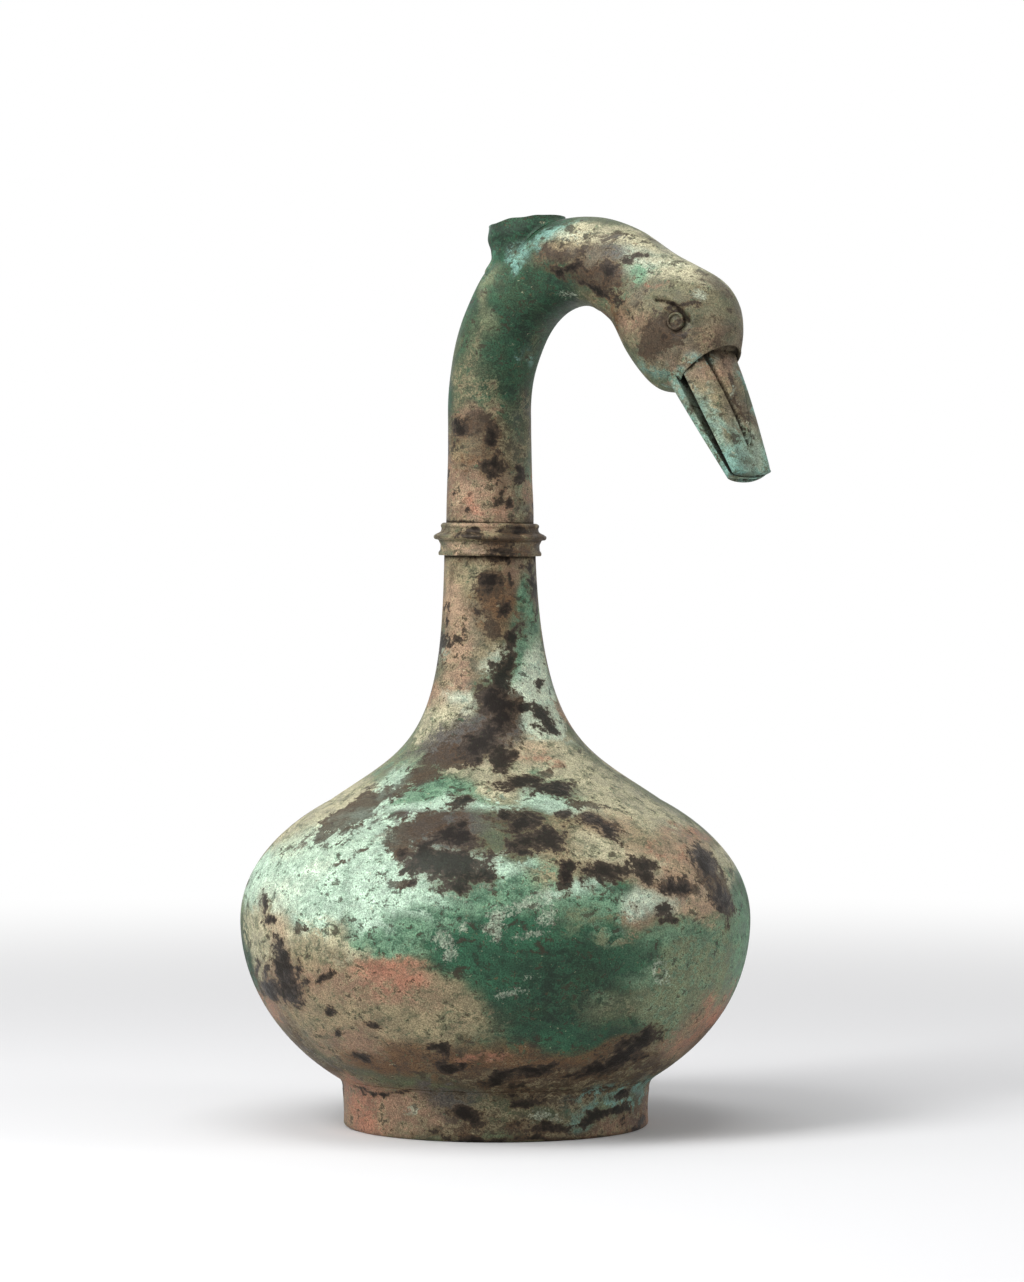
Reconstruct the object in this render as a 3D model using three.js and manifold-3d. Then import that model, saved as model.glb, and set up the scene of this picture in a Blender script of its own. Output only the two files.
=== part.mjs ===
// Goose-head wine jar in cast bronze: a round belly on a low foot ring, a long neck with a
// stepped ring at its joint, a bend that turns over into a goose's head, and a filling mouth
// that stands on the crown of the bend. Wine leaves through the slit between the bills.
// Millimetres, +Z up. The goose looks along +X and both sides of Y = 0 are alike.
import * as THREE from "three";
import { mergeVertices } from "three/addons/utils/BufferGeometryUtils.js";
import Module from "manifold-3d";

const wasm = await Module();
wasm.setup();

// Gap that is left between two castings where one seats on the other
const seatGap = 0.3;

// Foot ring
const footHeight = 20;
const footRadius = 61.4;
const footWall = 4.6;
const footLipStep = 1.1;
const footLipHeight = 3.4;
const footLipChamfer = 0.6;
const footEdgeRound = 1.2;

// Belly
const bellyRadius = 102.2;
const bellyWaistHeight = 82;
const bowlDepth = 79.5;
const shoulderRise = 63.2;
const bellyWall = 3;
const floorHeight = 11.5;
const floorWall = 3.2;
const floorCorner = 7;
const seatOverhang = 1.6;
const seatEdge = 0.9;

// Neck below the ring: the shoulder sweeps up into it
const sweepStartDrop = 15.2;
const sweepFirstRise = 21.3;
const sweepFirstReach = 35.5;
const sweepSecondDrop = 80.7;
const sweepSecondFlare = 1.3;
const neckSocketHeight = 232.7;
const neckSocketRadius = 18.2;
const neckWall = 2.8;
const neckSetBack = 3.2;
const setBackStart = 118;

// Stepped ring that covers the joint of the two neck castings
const ringLowerHeight = 5.2;
const ringLowerRadius = 20.6;
const ringFlangeHeight = 2.6;
const ringFlangeRise = 0.8;
const ringFlangeRadius = 22.6;
const ringUpperHeight = 4.4;
const ringUpperRadius = 20;
const ringUpperTaper = 0.7;
const ringGroove = 0.45;
const ringChamfer = 0.5;

// Upper neck and its bend, as one path of a straight run and three arcs
const upperNeckRadius = 17.4;
const upperNeckWaist = 16.5;
const bendRadius = 17.6;
const upperNeckRun = 51;
const leanArcRadius = 80;
const leanArcTurn = 24;
const crownArcRadius = 45.5;
const napeArcRadius = 41;
const napeArcTurn = 28;

// Filling mouth on the bend: its middle lies behind and below the top of the bend
const mouthSetBehind = 29.1;
const mouthSetBelow = 0.8;
const mouthTilt = 9;
const mouthRimRadius = 15.4;
const mouthLipRadius = 16.4;
const mouthLipDepth = 5.6;
const mouthWaistRadius = 15.6;
const mouthWaistDepth = 10;
const mouthWall = 2.6;
const mouthBeadWidth = 2;
const mouthBeadRise = 1.5;

// Head: seven sections from nape to face, by distance, rise above the axis and half sizes
const headPitch = 38;
const headWall = 2.8;
const headLength = 57.5;
const napeRise = 0.6;
const napeHalfWidth = 17.4;
const napeHalfDepth = 16.8;
const pollDistance = 13;
const pollRise = 1.3;
const pollHalfWidth = 17.4;
const pollHalfDepth = 18.2;
const jawDistance = 26;
const jawRise = 0.4;
const jawHalfWidth = 18.4;
const jawHalfDepth = 22.2;
const cheekDistance = 39;
const cheekRise = 0.6;
const cheekHalfWidth = 19;
const cheekHalfDepth = 24.4;
const browDistance = 47.5;
const browRise = -0.4;
const browHalfWidth = 17;
const browHalfDepth = 23.4;
const muzzleDistance = 53.6;
const muzzleRise = -2.1;
const muzzleHalfWidth = 14.9;
const muzzleHalfDepth = 19.4;
const faceRise = -3.4;
const faceHalfWidth = 14.2;
const faceHalfDepth = 14;

// Bills, measured from the line where the upper bill's top meets its side
const billTurn = 61;
const billLength = 45.2;
const billDrop = 1.8;
const billHalfWidth = 13.3;
const billTipHalfWidth = 11.6;
const billCrown = 8.6;
const billTipCrown = 1.8;
const billFlatness = 0.35;
const crownFall = 1.6;
const billSide = 3.2;
const billTipSide = 1.5;
const slitRoot = 2.4;
const slitTip = 0.4;
const lowerBillInset = 0.5;
const lowerBillRoot = 6.4;
const lowerBillTip = 3.8;
const lowerBillEdge = 0.45;
const billTenon = 3.2;
const wedgeHalfWidth = 8.3;
const wedgeTipHalfWidth = 0.5;
const wedgeLength = 35.5;
const wedgeRaise = 1.1;
const wedgeRoot = 0.6;
const wedgeFlatness = 0.8;
const throatHalfWidth = 8;
const throatLength = 16;
const throatReach = 9;
const throatGap = 1.6;

// Eyes
const eyeAbove = 7.8;
const eyeRadius = 3.5;
const eyePupilRadius = 2.4;
const eyePupilDepth = 0.7;
const eyeRaise = 0.9;
const eyeLookAhead = 0.12;
const eyeChamfer = 0.4;
const eyeSeatDepth = 1;
const eyeShankRadius = 1.7;
const eyeShankLength = 2.2;

// Bronze spacers that held core and mould apart and stayed in the wall
const spacerSize = 7;
const bellySpacerCount = 8;
const bellySpacerHeight = 56;
const floorSpacerCount = 4;
const floorSpacerRing = 30;

// Facets
const bellyFacets = 50;
const bowlSteps = 8;
const sweepSteps = 10;
const ringFacets = 36;
const neckFacets = 26;
const neckStations = 22;
const headFacets = 26;
const headStations = 12;
const billFacets = 14;
const eyeFacets = 16;

// Finishes
function bronze(color, roughness, metalness) {
  return new THREE.MeshStandardMaterial({ color, roughness, metalness });
}
const finishes = {
  foot: bronze(0x6f6a4e, 0.7, 0.35),
  belly: bronze(0x6d7458, 0.6, 0.35),
  ring: bronze(0x9c8666, 0.65, 0.3),
  neck: bronze(0x5f6a48, 0.6, 0.35),
  mouth: bronze(0x4f6b45, 0.6, 0.35),
  head: bronze(0x8c8053, 0.55, 0.4),
  bill: bronze(0x7f9c86, 0.7, 0.3),
  eye: bronze(0x8d9a72, 0.6, 0.35),
  spacer: bronze(0x4a4636, 0.5, 0.5),
};

// A closed geometry as a solid that can be cut and joined
function solidOf(geometry) {
  const bare = geometry.index ? geometry.toNonIndexed() : geometry.clone();
  bare.deleteAttribute("normal");
  bare.deleteAttribute("uv");
  const merged = mergeVertices(bare, 1e-4);
  return new wasm.Manifold(
    new wasm.Mesh({
      numProp: 3,
      vertProperties: new Float32Array(merged.attributes.position.array),
      triVerts: new Uint32Array(merged.index.array),
    }),
  );
}

function geometryOf(solid) {
  const mesh = solid.getMesh();
  const geometry = new THREE.BufferGeometry();
  geometry.setAttribute("position", new THREE.BufferAttribute(mesh.vertProperties, 3));
  geometry.setIndex(new THREE.BufferAttribute(mesh.triVerts, 1));
  geometry.computeVertexNormals();
  return geometry;
}

function piece(name, geometry, material) {
  const mesh = new THREE.Mesh(geometry, material);
  mesh.name = name;
  return mesh;
}

// A profile of (radius, height) points turned about +Z
function turned(profile, facets) {
  const geometry = new THREE.LatheGeometry(profile, facets);
  geometry.rotateX(Math.PI / 2);
  return geometry;
}

// A skin over rings of equal count, closed at both ends by a fan
function lofted(rings) {
  const count = rings[0].length;
  const points = rings.flat();
  const faces = [];
  for (let i = 0; i + 1 < rings.length; i += 1) {
    for (let j = 0; j < count; j += 1) {
      const a = i * count + j;
      const b = i * count + ((j + 1) % count);
      faces.push(a, b, a + count, b, b + count, a + count);
    }
  }
  const fan = (ring, start, flip) => {
    const centre = new THREE.Vector3();
    for (const point of ring) centre.addScaledVector(point, 1 / count);
    const hub = points.push(centre) - 1;
    for (let j = 0; j < count; j += 1) {
      const a = start + j;
      const b = start + ((j + 1) % count);
      faces.push(hub, flip ? b : a, flip ? a : b);
    }
  };
  fan(rings[0], 0, true);
  fan(rings.at(-1), (rings.length - 1) * count, false);
  const geometry = new THREE.BufferGeometry().setFromPoints(points);
  geometry.setIndex(faces);
  return geometry;
}

const radians = THREE.MathUtils.degToRad;
const lerp = THREE.MathUtils.lerp;
const smooth = THREE.MathUtils.smoothstep;

// Where a section stands: its centre in the XZ plane and its forward and upward directions
function stand(x, z, heading) {
  return {
    centre: new THREE.Vector3(x, 0, z),
    forward: new THREE.Vector3(Math.cos(heading), 0, Math.sin(heading)),
    upward: new THREE.Vector3(-Math.sin(heading), 0, Math.cos(heading)),
  };
}

function placed(at, side, up) {
  return at.centre.clone().addScaledVector(at.upward, up).add(new THREE.Vector3(0, side, 0));
}

function moved(at, along, up, turn = 0) {
  const centre = at.centre.clone().addScaledVector(at.forward, along);
  centre.addScaledVector(at.upward, up);
  const heading = Math.atan2(at.forward.z, at.forward.x) - radians(turn);
  return stand(centre.x, centre.z, heading);
}

function ovalRing(at, halfWidth, halfDepth, facets) {
  const ring = [];
  for (let k = 0; k < facets; k += 1) {
    const angle = (2 * Math.PI * k) / facets;
    ring.push(placed(at, halfWidth * Math.cos(angle), halfDepth * Math.sin(angle)));
  }
  return ring;
}

// The belly's outside radius at a height, up to where the neck sweep starts
const sweepStartHeight = bellyWaistHeight + shoulderRise - sweepStartDrop;
function bellyRadiusAt(height) {
  const reach = height < bellyWaistHeight ? bowlDepth : shoulderRise;
  const share = (height - bellyWaistHeight) / reach;
  return bellyRadius * Math.sqrt(Math.max(0, 1 - share * share));
}

function setBackAt(height) {
  return -neckSetBack * smooth(height, setBackStart, neckSocketHeight);
}

// Foot ring: a plain band with a lip under the seam, and a hollow under the floor
const footLipRadius = footRadius + footLipStep;
const footInnerRadius = footRadius - footWall;
function footRing() {
  const lipStart = footHeight - footLipHeight;
  const profile = [
    new THREE.Vector2(footInnerRadius, 0),
    new THREE.Vector2(footRadius - footEdgeRound, 0),
    new THREE.Vector2(footRadius, footEdgeRound),
    new THREE.Vector2(footRadius, lipStart - footLipStep),
    new THREE.Vector2(footLipRadius, lipStart),
    new THREE.Vector2(footLipRadius, footHeight - footLipChamfer),
    new THREE.Vector2(footLipRadius - footLipChamfer, footHeight),
    new THREE.Vector2(footInnerRadius, footHeight),
    new THREE.Vector2(footInnerRadius, 0),
  ];
  return piece("foot_ring", turned(profile, bellyFacets), finishes.foot);
}

// Belly, shoulder and lower neck in one casting, open at the top of the neck
const seatHeight = footHeight + seatGap;
const hubRadius = footInnerRadius - seatGap;
function neckSweep() {
  const start = new THREE.Vector2(bellyRadiusAt(sweepStartHeight), sweepStartHeight);
  const end = new THREE.Vector2(neckSocketRadius, neckSocketHeight);
  const firstPull = new THREE.Vector2(sweepFirstReach, start.y + sweepFirstRise);
  const secondPull = new THREE.Vector2(end.x + sweepSecondFlare, end.y - sweepSecondDrop);
  return new THREE.CubicBezierCurve(start, firstPull, secondPull, end);
}

function bellyOutside() {
  const points = [new THREE.Vector2(0, floorHeight)];
  const corner = 4;
  for (let k = 0; k <= corner; k += 1) {
    const angle = (Math.PI / 2) * (k / corner);
    points.push(
      new THREE.Vector2(
        hubRadius - floorCorner * (1 - Math.sin(angle)),
        floorHeight + floorCorner * (1 - Math.cos(angle)),
      ),
    );
  }
  points.push(new THREE.Vector2(hubRadius, seatHeight));
  points.push(new THREE.Vector2(footLipRadius + seatOverhang, seatHeight));
  const bowlStart = seatHeight + seatEdge;
  for (let k = 0; k <= bowlSteps; k += 1) {
    const share = Math.sin((Math.PI / 2) * (k / bowlSteps));
    const height = lerp(bowlStart, bellyWaistHeight, share);
    points.push(new THREE.Vector2(bellyRadiusAt(height), height));
  }
  const shoulderSteps = 6;
  for (let k = 1; k < shoulderSteps; k += 1) {
    const height = lerp(bellyWaistHeight, sweepStartHeight, k / shoulderSteps);
    points.push(new THREE.Vector2(bellyRadiusAt(height), height));
  }
  points.push(...neckSweep().getPoints(sweepSteps));
  return points;
}

function bellyInside() {
  const points = [];
  const sweep = neckSweep();
  for (let k = sweepSteps; k > 0; k -= 1) {
    const share = k / sweepSteps;
    const point = sweep.getPoint(share);
    const slope = sweep.getTangent(share);
    const wall = lerp(bellyWall, neckWall, share);
    points.push(new THREE.Vector2(point.x - wall * slope.y, point.y + wall * slope.x));
  }
  points[0].y = neckSocketHeight;
  const innerShoulder = shoulderRise - bellyWall;
  const innerBowl = bellyWaistHeight - floorHeight - floorWall;
  const innerRadius = bellyRadius - bellyWall;
  const shoulderSteps = 6;
  const lastRise = (sweepStartHeight - bellyWaistHeight) * (innerShoulder / shoulderRise);
  const lastAngle = Math.asin(Math.min(1, lastRise / innerShoulder));
  for (let k = shoulderSteps; k > 0; k -= 1) {
    const angle = lastAngle * (k / shoulderSteps);
    points.push(
      new THREE.Vector2(
        innerRadius * Math.cos(angle),
        bellyWaistHeight + innerShoulder * Math.sin(angle),
      ),
    );
  }
  for (let k = 0; k < bowlSteps; k += 1) {
    const angle = (Math.PI / 2) * (k / bowlSteps);
    points.push(
      new THREE.Vector2(
        innerRadius * Math.cos(angle),
        bellyWaistHeight - innerBowl * Math.sin(angle),
      ),
    );
  }
  points.push(new THREE.Vector2(0, floorHeight + floorWall));
  return points;
}

// The upper part of the belly casting stands a little behind the axis
function leanBack(geometry) {
  const position = geometry.attributes.position;
  for (let i = 0; i < position.count; i += 1) {
    position.setX(i, position.getX(i) + setBackAt(position.getZ(i)));
  }
  return geometry;
}

function spacerPlaces() {
  const places = [];
  const waist = bellyRadiusAt(bellySpacerHeight);
  const slope = Math.atan2(
    (bellyWaistHeight - bellySpacerHeight) * bellyRadius * bellyRadius,
    bowlDepth * bowlDepth * waist,
  );
  for (let k = 0; k < bellySpacerCount; k += 1) {
    const turn = (2 * Math.PI * (k + 0.5)) / bellySpacerCount;
    const facing = new THREE.Vector3(
      Math.cos(turn) * Math.cos(slope),
      Math.sin(turn) * Math.cos(slope),
      -Math.sin(slope),
    );
    const centre = new THREE.Vector3(
      waist * Math.cos(turn),
      waist * Math.sin(turn),
      bellySpacerHeight,
    ).addScaledVector(facing, -bellyWall / 2);
    places.push({ name: "belly_spacer_" + (k + 1), centre, facing, wall: bellyWall });
  }
  for (let k = 0; k < floorSpacerCount; k += 1) {
    const turn = (2 * Math.PI * (k + 0.5)) / floorSpacerCount;
    const centre = new THREE.Vector3(
      floorSpacerRing * Math.cos(turn),
      floorSpacerRing * Math.sin(turn),
      floorHeight + floorWall / 2,
    );
    const facing = new THREE.Vector3(0, 0, -1);
    places.push({ name: "floor_spacer_" + (k + 1), centre, facing, wall: floorWall });
  }
  return places;
}

// Each spacer is a square plate that faces out of the wall, with two sides running round the jar
function spacerBlock(place, size, thickness) {
  const geometry = new THREE.BoxGeometry(size, size, thickness);
  const round = new THREE.Vector3(-place.centre.y, place.centre.x, 0).normalize();
  const rise = new THREE.Vector3().crossVectors(place.facing, round);
  geometry.applyMatrix4(new THREE.Matrix4().makeBasis(round, rise, place.facing));
  geometry.translate(place.centre.x, place.centre.y, place.centre.z);
  return geometry;
}

function bellyShell() {
  const profile = [...bellyOutside(), ...bellyInside()];
  let solid = solidOf(leanBack(turned(profile, bellyFacets)));
  for (const place of spacerPlaces()) {
    const window = spacerBlock(place, spacerSize + 2 * seatGap, 5 * place.wall);
    solid = solid.subtract(solidOf(window));
  }
  return piece("belly_shell", geometryOf(solid), finishes.belly);
}

function spacers() {
  return spacerPlaces().map((place) =>
    piece(place.name, spacerBlock(place, spacerSize, place.wall), finishes.spacer),
  );
}

// Neck ring: a sleeve of three bands over the joint, with a shoulder that sits on the lower neck
const jointHeight = neckSocketHeight + seatGap;
const upperNeckFoot = jointHeight;
function neckRing() {
  const bottom = jointHeight - ringLowerHeight;
  const flange = bottom + ringLowerHeight + ringFlangeRise;
  const flangeTop = flange + ringFlangeHeight;
  const top = flangeTop + ringUpperHeight;
  const lowerBore = neckSocketRadius + 2 * seatGap;
  const upperBore = upperNeckRadius + seatGap;
  const profile = [
    new THREE.Vector2(lowerBore, bottom),
    new THREE.Vector2(ringLowerRadius - ringChamfer, bottom),
    new THREE.Vector2(ringLowerRadius, bottom + ringChamfer),
    new THREE.Vector2(ringLowerRadius, flange - ringGroove),
    new THREE.Vector2(ringLowerRadius - ringGroove, flange),
    new THREE.Vector2(ringFlangeRadius, flange),
    new THREE.Vector2(ringFlangeRadius, flangeTop - ringChamfer),
    new THREE.Vector2(ringFlangeRadius - ringChamfer, flangeTop),
    new THREE.Vector2(ringUpperRadius, flangeTop),
    new THREE.Vector2(ringUpperRadius - ringUpperTaper, top - ringChamfer),
    new THREE.Vector2(ringUpperRadius - ringUpperTaper - ringChamfer, top),
    new THREE.Vector2(upperBore, top),
    new THREE.Vector2(upperBore, jointHeight),
    new THREE.Vector2(lowerBore, jointHeight),
    new THREE.Vector2(lowerBore, bottom),
  ];
  const ring = piece("neck_collar", turned(profile, ringFacets), finishes.ring);
  ring.position.x = -neckSetBack;
  return ring;
}

// The neck's path: each leg goes straight or turns towards the front with its own radius
const neckLegs = [
  { radius: Infinity, length: upperNeckRun },
  { radius: leanArcRadius, length: leanArcRadius * radians(leanArcTurn) },
  { radius: crownArcRadius, length: crownArcRadius * radians(90 - leanArcTurn) },
  { radius: napeArcRadius, length: napeArcRadius * radians(napeArcTurn) },
];
const neckLength = neckLegs.reduce((sum, leg) => sum + leg.length, 0);

function neckStand(distance) {
  let x = -neckSetBack;
  let z = upperNeckFoot;
  let heading = Math.PI / 2;
  let left = distance;
  for (const leg of neckLegs) {
    const step = Math.min(left, leg.length);
    if (leg.radius === Infinity) {
      x += step * Math.cos(heading);
      z += step * Math.sin(heading);
    } else {
      const next = heading - step / leg.radius;
      x += leg.radius * (Math.sin(heading) - Math.sin(next));
      z += leg.radius * (Math.cos(next) - Math.cos(heading));
      heading = next;
    }
    left -= step;
    if (left <= 0) break;
  }
  return stand(x, z, heading);
}

function neckRadiusAt(distance) {
  const toWaist = smooth(distance, 0, upperNeckRun);
  const toBend = smooth(distance, upperNeckRun, neckLength * 0.7);
  return lerp(lerp(upperNeckRadius, upperNeckWaist, toWaist), bendRadius, toBend);
}

function neckTube(growth, facets, stations, endStretch = 0) {
  const rings = [];
  for (let k = 0; k <= stations; k += 1) {
    const distance = (neckLength * k) / stations;
    const radius = neckRadiusAt(distance) + growth;
    let at = neckStand(distance);
    if (k === 0) at = moved(at, -endStretch, 0);
    if (k === stations) at = moved(at, endStretch, 0);
    rings.push(ovalRing(at, radius, radius, facets));
  }
  return solidOf(lofted(rings));
}

// The mouth's own frame: its axis leans back, and its middle is set from the top of the bend
const crownStand = neckStand(neckLength - neckLegs.at(-1).length);
const mouthX = crownStand.centre.x - mouthSetBehind;
const mouthRimHeight = crownStand.centre.z + bendRadius - mouthSetBelow;
const mouthBore = mouthWaistRadius - mouthWall;
const mouthReach = 1.5 * bendRadius;
function mouthTurned(profile) {
  const points = profile.map(([radius, height]) => new THREE.Vector2(radius, height));
  const geometry = turned(points, neckFacets);
  geometry.rotateY(-radians(mouthTilt));
  geometry.translate(mouthX, 0, mouthRimHeight);
  return solidOf(geometry);
}

function gooseNeck() {
  const bore = neckTube(-neckWall, neckFacets - 4, neckStations - 4, neckWall);
  const well = mouthTurned([
    [0, -mouthReach],
    [mouthBore, -mouthReach],
    [mouthBore, mouthReach],
    [0, mouthReach],
  ]);
  const tube = neckTube(0, neckFacets, neckStations).subtract(bore).subtract(well);
  return piece("goose_neck", geometryOf(tube), finishes.neck);
}

// Filling mouth: a lipped funnel whose foot is cut to the neck, with a bead along the joint
function mouthCollar() {
  const lipStart = mouthRimRadius - mouthWall;
  const funnel = mouthTurned([
    [mouthBore, -mouthReach],
    [mouthWaistRadius, -mouthReach],
    [mouthWaistRadius, -mouthWaistDepth],
    [mouthLipRadius, -mouthLipDepth],
    [lerp(mouthRimRadius, mouthLipRadius, 0.5), -mouthLipDepth * 0.35],
    [mouthRimRadius, 0],
    [lipStart, 0],
    [mouthBore, -mouthLipDepth],
    [mouthBore, -mouthReach],
  ]);
  const sleeve = mouthTurned([
    [mouthBore, -mouthReach],
    [mouthWaistRadius + mouthBeadWidth, -mouthReach],
    [mouthWaistRadius + mouthBeadWidth, 0],
    [mouthBore, 0],
    [mouthBore, -mouthReach],
  ]);
  const bead = sleeve.intersect(neckTube(mouthBeadRise, neckFacets, neckStations));
  const collar = funnel.add(bead).subtract(neckTube(seatGap, neckFacets, neckStations));
  return piece("mouth_collar", geometryOf(collar), finishes.mouth);
}

// The head's frame starts where the neck ends and points down its own pitch
const napeStand = neckStand(neckLength);
const headStand = stand(napeStand.centre.x, napeStand.centre.z, -radians(headPitch));

// The seven sections of the head, which a smooth curve then joins
const headRows = [
  [0, napeRise, napeArcTurn - headPitch, napeHalfWidth, napeHalfDepth],
  [pollDistance, pollRise, -2, pollHalfWidth, pollHalfDepth],
  [jawDistance, jawRise, 0, jawHalfWidth, jawHalfDepth],
  [cheekDistance, cheekRise, 2, cheekHalfWidth, cheekHalfDepth],
  [browDistance, browRise, 6, browHalfWidth, browHalfDepth],
  [muzzleDistance, muzzleRise, 10, muzzleHalfWidth, muzzleHalfDepth],
  [headLength, faceRise, 12, faceHalfWidth, faceHalfDepth],
];
const faceTurn = headRows.at(-1)[2];
const cheekRow = headRows.findIndex((row) => row[0] === cheekDistance);

function smoothCurve(points) {
  return new THREE.CatmullRomCurve3(points, false, "catmullrom", 0.5);
}
const headPlaces = smoothCurve(headRows.map((row) => new THREE.Vector3(row[0], row[1], row[2])));
const headSizes = smoothCurve(headRows.map((row) => new THREE.Vector3(row[3], row[4], 0)));

function headSection(share) {
  const place = headPlaces.getPoint(share);
  const size = headSizes.getPoint(share);
  const at = moved(headStand, place.x, place.y, place.z);
  return { at, halfWidth: size.x, halfDepth: size.y };
}

function headRings(growth, facets, stations, lastShare = 1) {
  const rings = [];
  for (let k = 0; k <= stations; k += 1) {
    const row = headSection((lastShare * k) / stations);
    rings.push(ovalRing(row.at, row.halfWidth + growth, row.halfDepth + growth, facets));
  }
  return rings;
}

// The bills' frame lies on the line where the upper bill's top meets its side
const faceStand = moved(headStand, headLength, faceRise, faceTurn);
const billStand = moved(faceStand, 0, -billDrop, billTurn - headPitch - faceTurn);

function billRing(at, halfWidth, low, side, crown, flatness) {
  const ring = [placed(at, halfWidth, low)];
  for (let k = 0; k <= billFacets; k += 1) {
    const angle = (Math.PI * k) / billFacets;
    const up = side + crown * Math.pow(Math.sin(angle), flatness);
    ring.push(placed(at, halfWidth * Math.cos(angle), up));
  }
  ring.push(placed(at, -halfWidth, low));
  return ring;
}

function crownAt(share) {
  return lerp(billCrown, billTipCrown, Math.pow(share, crownFall));
}

// Stations along a bill: one at the end of its tenon and the others from root to tip
const billSteps = 6;
function billStations(tenon) {
  const stations = [{ share: 0, at: moved(billStand, -tenon, 0) }];
  for (let k = 0; k <= billSteps; k += 1) {
    const share = k / billSteps;
    stations.push({ share, at: moved(billStand, billLength * share, 0) });
  }
  return stations;
}

// Upper bill: flat below, crowned above, running from its tenon in the face to the tip
function upperBillSolid(growth, tenon) {
  const rings = billStations(tenon).map(({ share, at }) => {
    const halfWidth = lerp(billHalfWidth, billTipHalfWidth, share) + growth;
    const low = -lerp(billSide, billTipSide, share) - growth;
    return billRing(at, halfWidth, low, 0, crownAt(share) + growth, billFlatness);
  });
  return solidOf(lofted(rings));
}

// Raised wedge on the upper bill, from the face to a point short of the tip
function wedgeSolid() {
  const rings = [];
  for (let k = 0; k <= billSteps; k += 1) {
    const share = k / billSteps;
    const along = wedgeLength * share;
    const crown = crownAt(along / billLength);
    const halfWidth = lerp(wedgeHalfWidth, wedgeTipHalfWidth, share);
    const root = crown - wedgeRoot - (wedgeRaise * share) / 2;
    const rise = wedgeRaise + wedgeRoot;
    rings.push(billRing(moved(billStand, along, 0), halfWidth, 0, root, rise, wedgeFlatness));
  }
  return solidOf(lofted(rings));
}

// Lower bill: flat above, rounded below, with the pouring slit between it and the upper one
function lowerBillSolid(growth, tenon) {
  const rings = billStations(tenon).map(({ share, at }) => {
    const halfWidth = lerp(billHalfWidth, billTipHalfWidth, share) - lowerBillInset + growth;
    const top = -lerp(billSide + slitRoot, billTipSide + slitTip, share) + growth;
    const depth = lerp(lowerBillRoot, lowerBillTip, share) + 2 * growth;
    const ring = [placed(at, -halfWidth, top)];
    for (let j = 0; j <= billFacets; j += 1) {
      const angle = (Math.PI * j) / billFacets;
      const down = depth * lerp(lowerBillEdge, 1, Math.sin(angle));
      ring.push(placed(at, -halfWidth * Math.cos(angle), top - down));
    }
    ring.push(placed(at, halfWidth, top));
    return ring;
  });
  return solidOf(lofted(rings));
}

// Slit-shaped passage from the hollow of the head into the gap between the bills
function throatSolid() {
  const middle = -billSide - slitRoot / 2;
  const low = middle - throatGap / 2;
  const high = middle + throatGap / 2;
  const rings = [-throatLength, throatReach].map((along) => {
    const at = moved(billStand, along, 0);
    return [
      placed(at, throatHalfWidth, low),
      placed(at, throatHalfWidth, high),
      placed(at, -throatHalfWidth, high),
      placed(at, -throatHalfWidth, low),
    ];
  });
  return solidOf(lofted(rings));
}

// Eyes: ring studs that seat in spot faces on both cheeks, halfway from cheek to brow
const eyeShare = (cheekRow + 0.5) / (headRows.length - 1);
function eyeFrame(side) {
  const { at, halfWidth, halfDepth } = headSection(eyeShare);
  const out = halfWidth * Math.sqrt(1 - Math.pow(eyeAbove / halfDepth, 2));
  const facing = new THREE.Vector3(0, (side * out) / Math.pow(halfWidth, 2), 0);
  facing.addScaledVector(at.upward, eyeAbove / Math.pow(halfDepth, 2));
  facing.addScaledVector(at.forward, eyeLookAhead / halfWidth);
  return { centre: placed(at, side * out, eyeAbove), facing: facing.normalize() };
}

function eyeTurned(side, profile) {
  const { centre, facing } = eyeFrame(side);
  const points = profile.map(([radius, height]) => new THREE.Vector2(radius, height));
  const geometry = turned(points, eyeFacets);
  const turn = new THREE.Quaternion();
  turn.setFromUnitVectors(new THREE.Vector3(0, 0, 1), facing);
  geometry.applyQuaternion(turn);
  geometry.translate(centre.x, centre.y, centre.z);
  return geometry;
}

const shankDepth = eyeSeatDepth + eyeShankLength;
function eyeSeat(side) {
  return solidOf(
    eyeTurned(side, [
      [0, -shankDepth - seatGap],
      [eyeShankRadius + seatGap, -shankDepth - seatGap],
      [eyeShankRadius + seatGap, -eyeSeatDepth],
      [eyeRadius + seatGap, -eyeSeatDepth],
      [eyeRadius + seatGap, eyeRadius],
      [0, eyeRadius],
    ]),
  );
}

function eye(name, side) {
  const base = -eyeSeatDepth + seatGap;
  const pupil = eyeRaise - eyePupilDepth;
  const geometry = eyeTurned(side, [
    [0, -shankDepth + seatGap],
    [eyeShankRadius, -shankDepth + seatGap],
    [eyeShankRadius, base],
    [eyeRadius, base],
    [eyeRadius, eyeRaise - eyeChamfer],
    [eyeRadius - eyeChamfer, eyeRaise],
    [eyePupilRadius + eyeChamfer / 2, eyeRaise],
    [eyePupilRadius, pupil],
    [0, pupil],
  ]);
  return piece(name, geometry, finishes.eye);
}

// Head: a hollow casting with the nape open, a mortise for both bills and a throat behind it
const hollowShare = (cheekRow + 1) / (headRows.length - 1);
function gooseHead() {
  const rings = headRings(0, headFacets, headStations);
  rings[0] = rings[0].map((point) => point.addScaledVector(napeStand.forward, seatGap));
  let head = solidOf(lofted(rings));
  const hollow = headRings(-headWall, headFacets - 4, headStations - 4, hollowShare);
  hollow[0] = hollow[0].map((point) => point.addScaledVector(napeStand.forward, -headWall));
  head = head.subtract(solidOf(lofted(hollow)));
  const tenonRoom = billTenon + seatGap;
  head = head.subtract(upperBillSolid(seatGap, tenonRoom));
  head = head.subtract(lowerBillSolid(seatGap, tenonRoom));
  head = head.subtract(throatSolid());
  head = head.subtract(eyeSeat(1)).subtract(eyeSeat(-1));
  return piece("goose_head", geometryOf(head), finishes.head);
}

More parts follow.
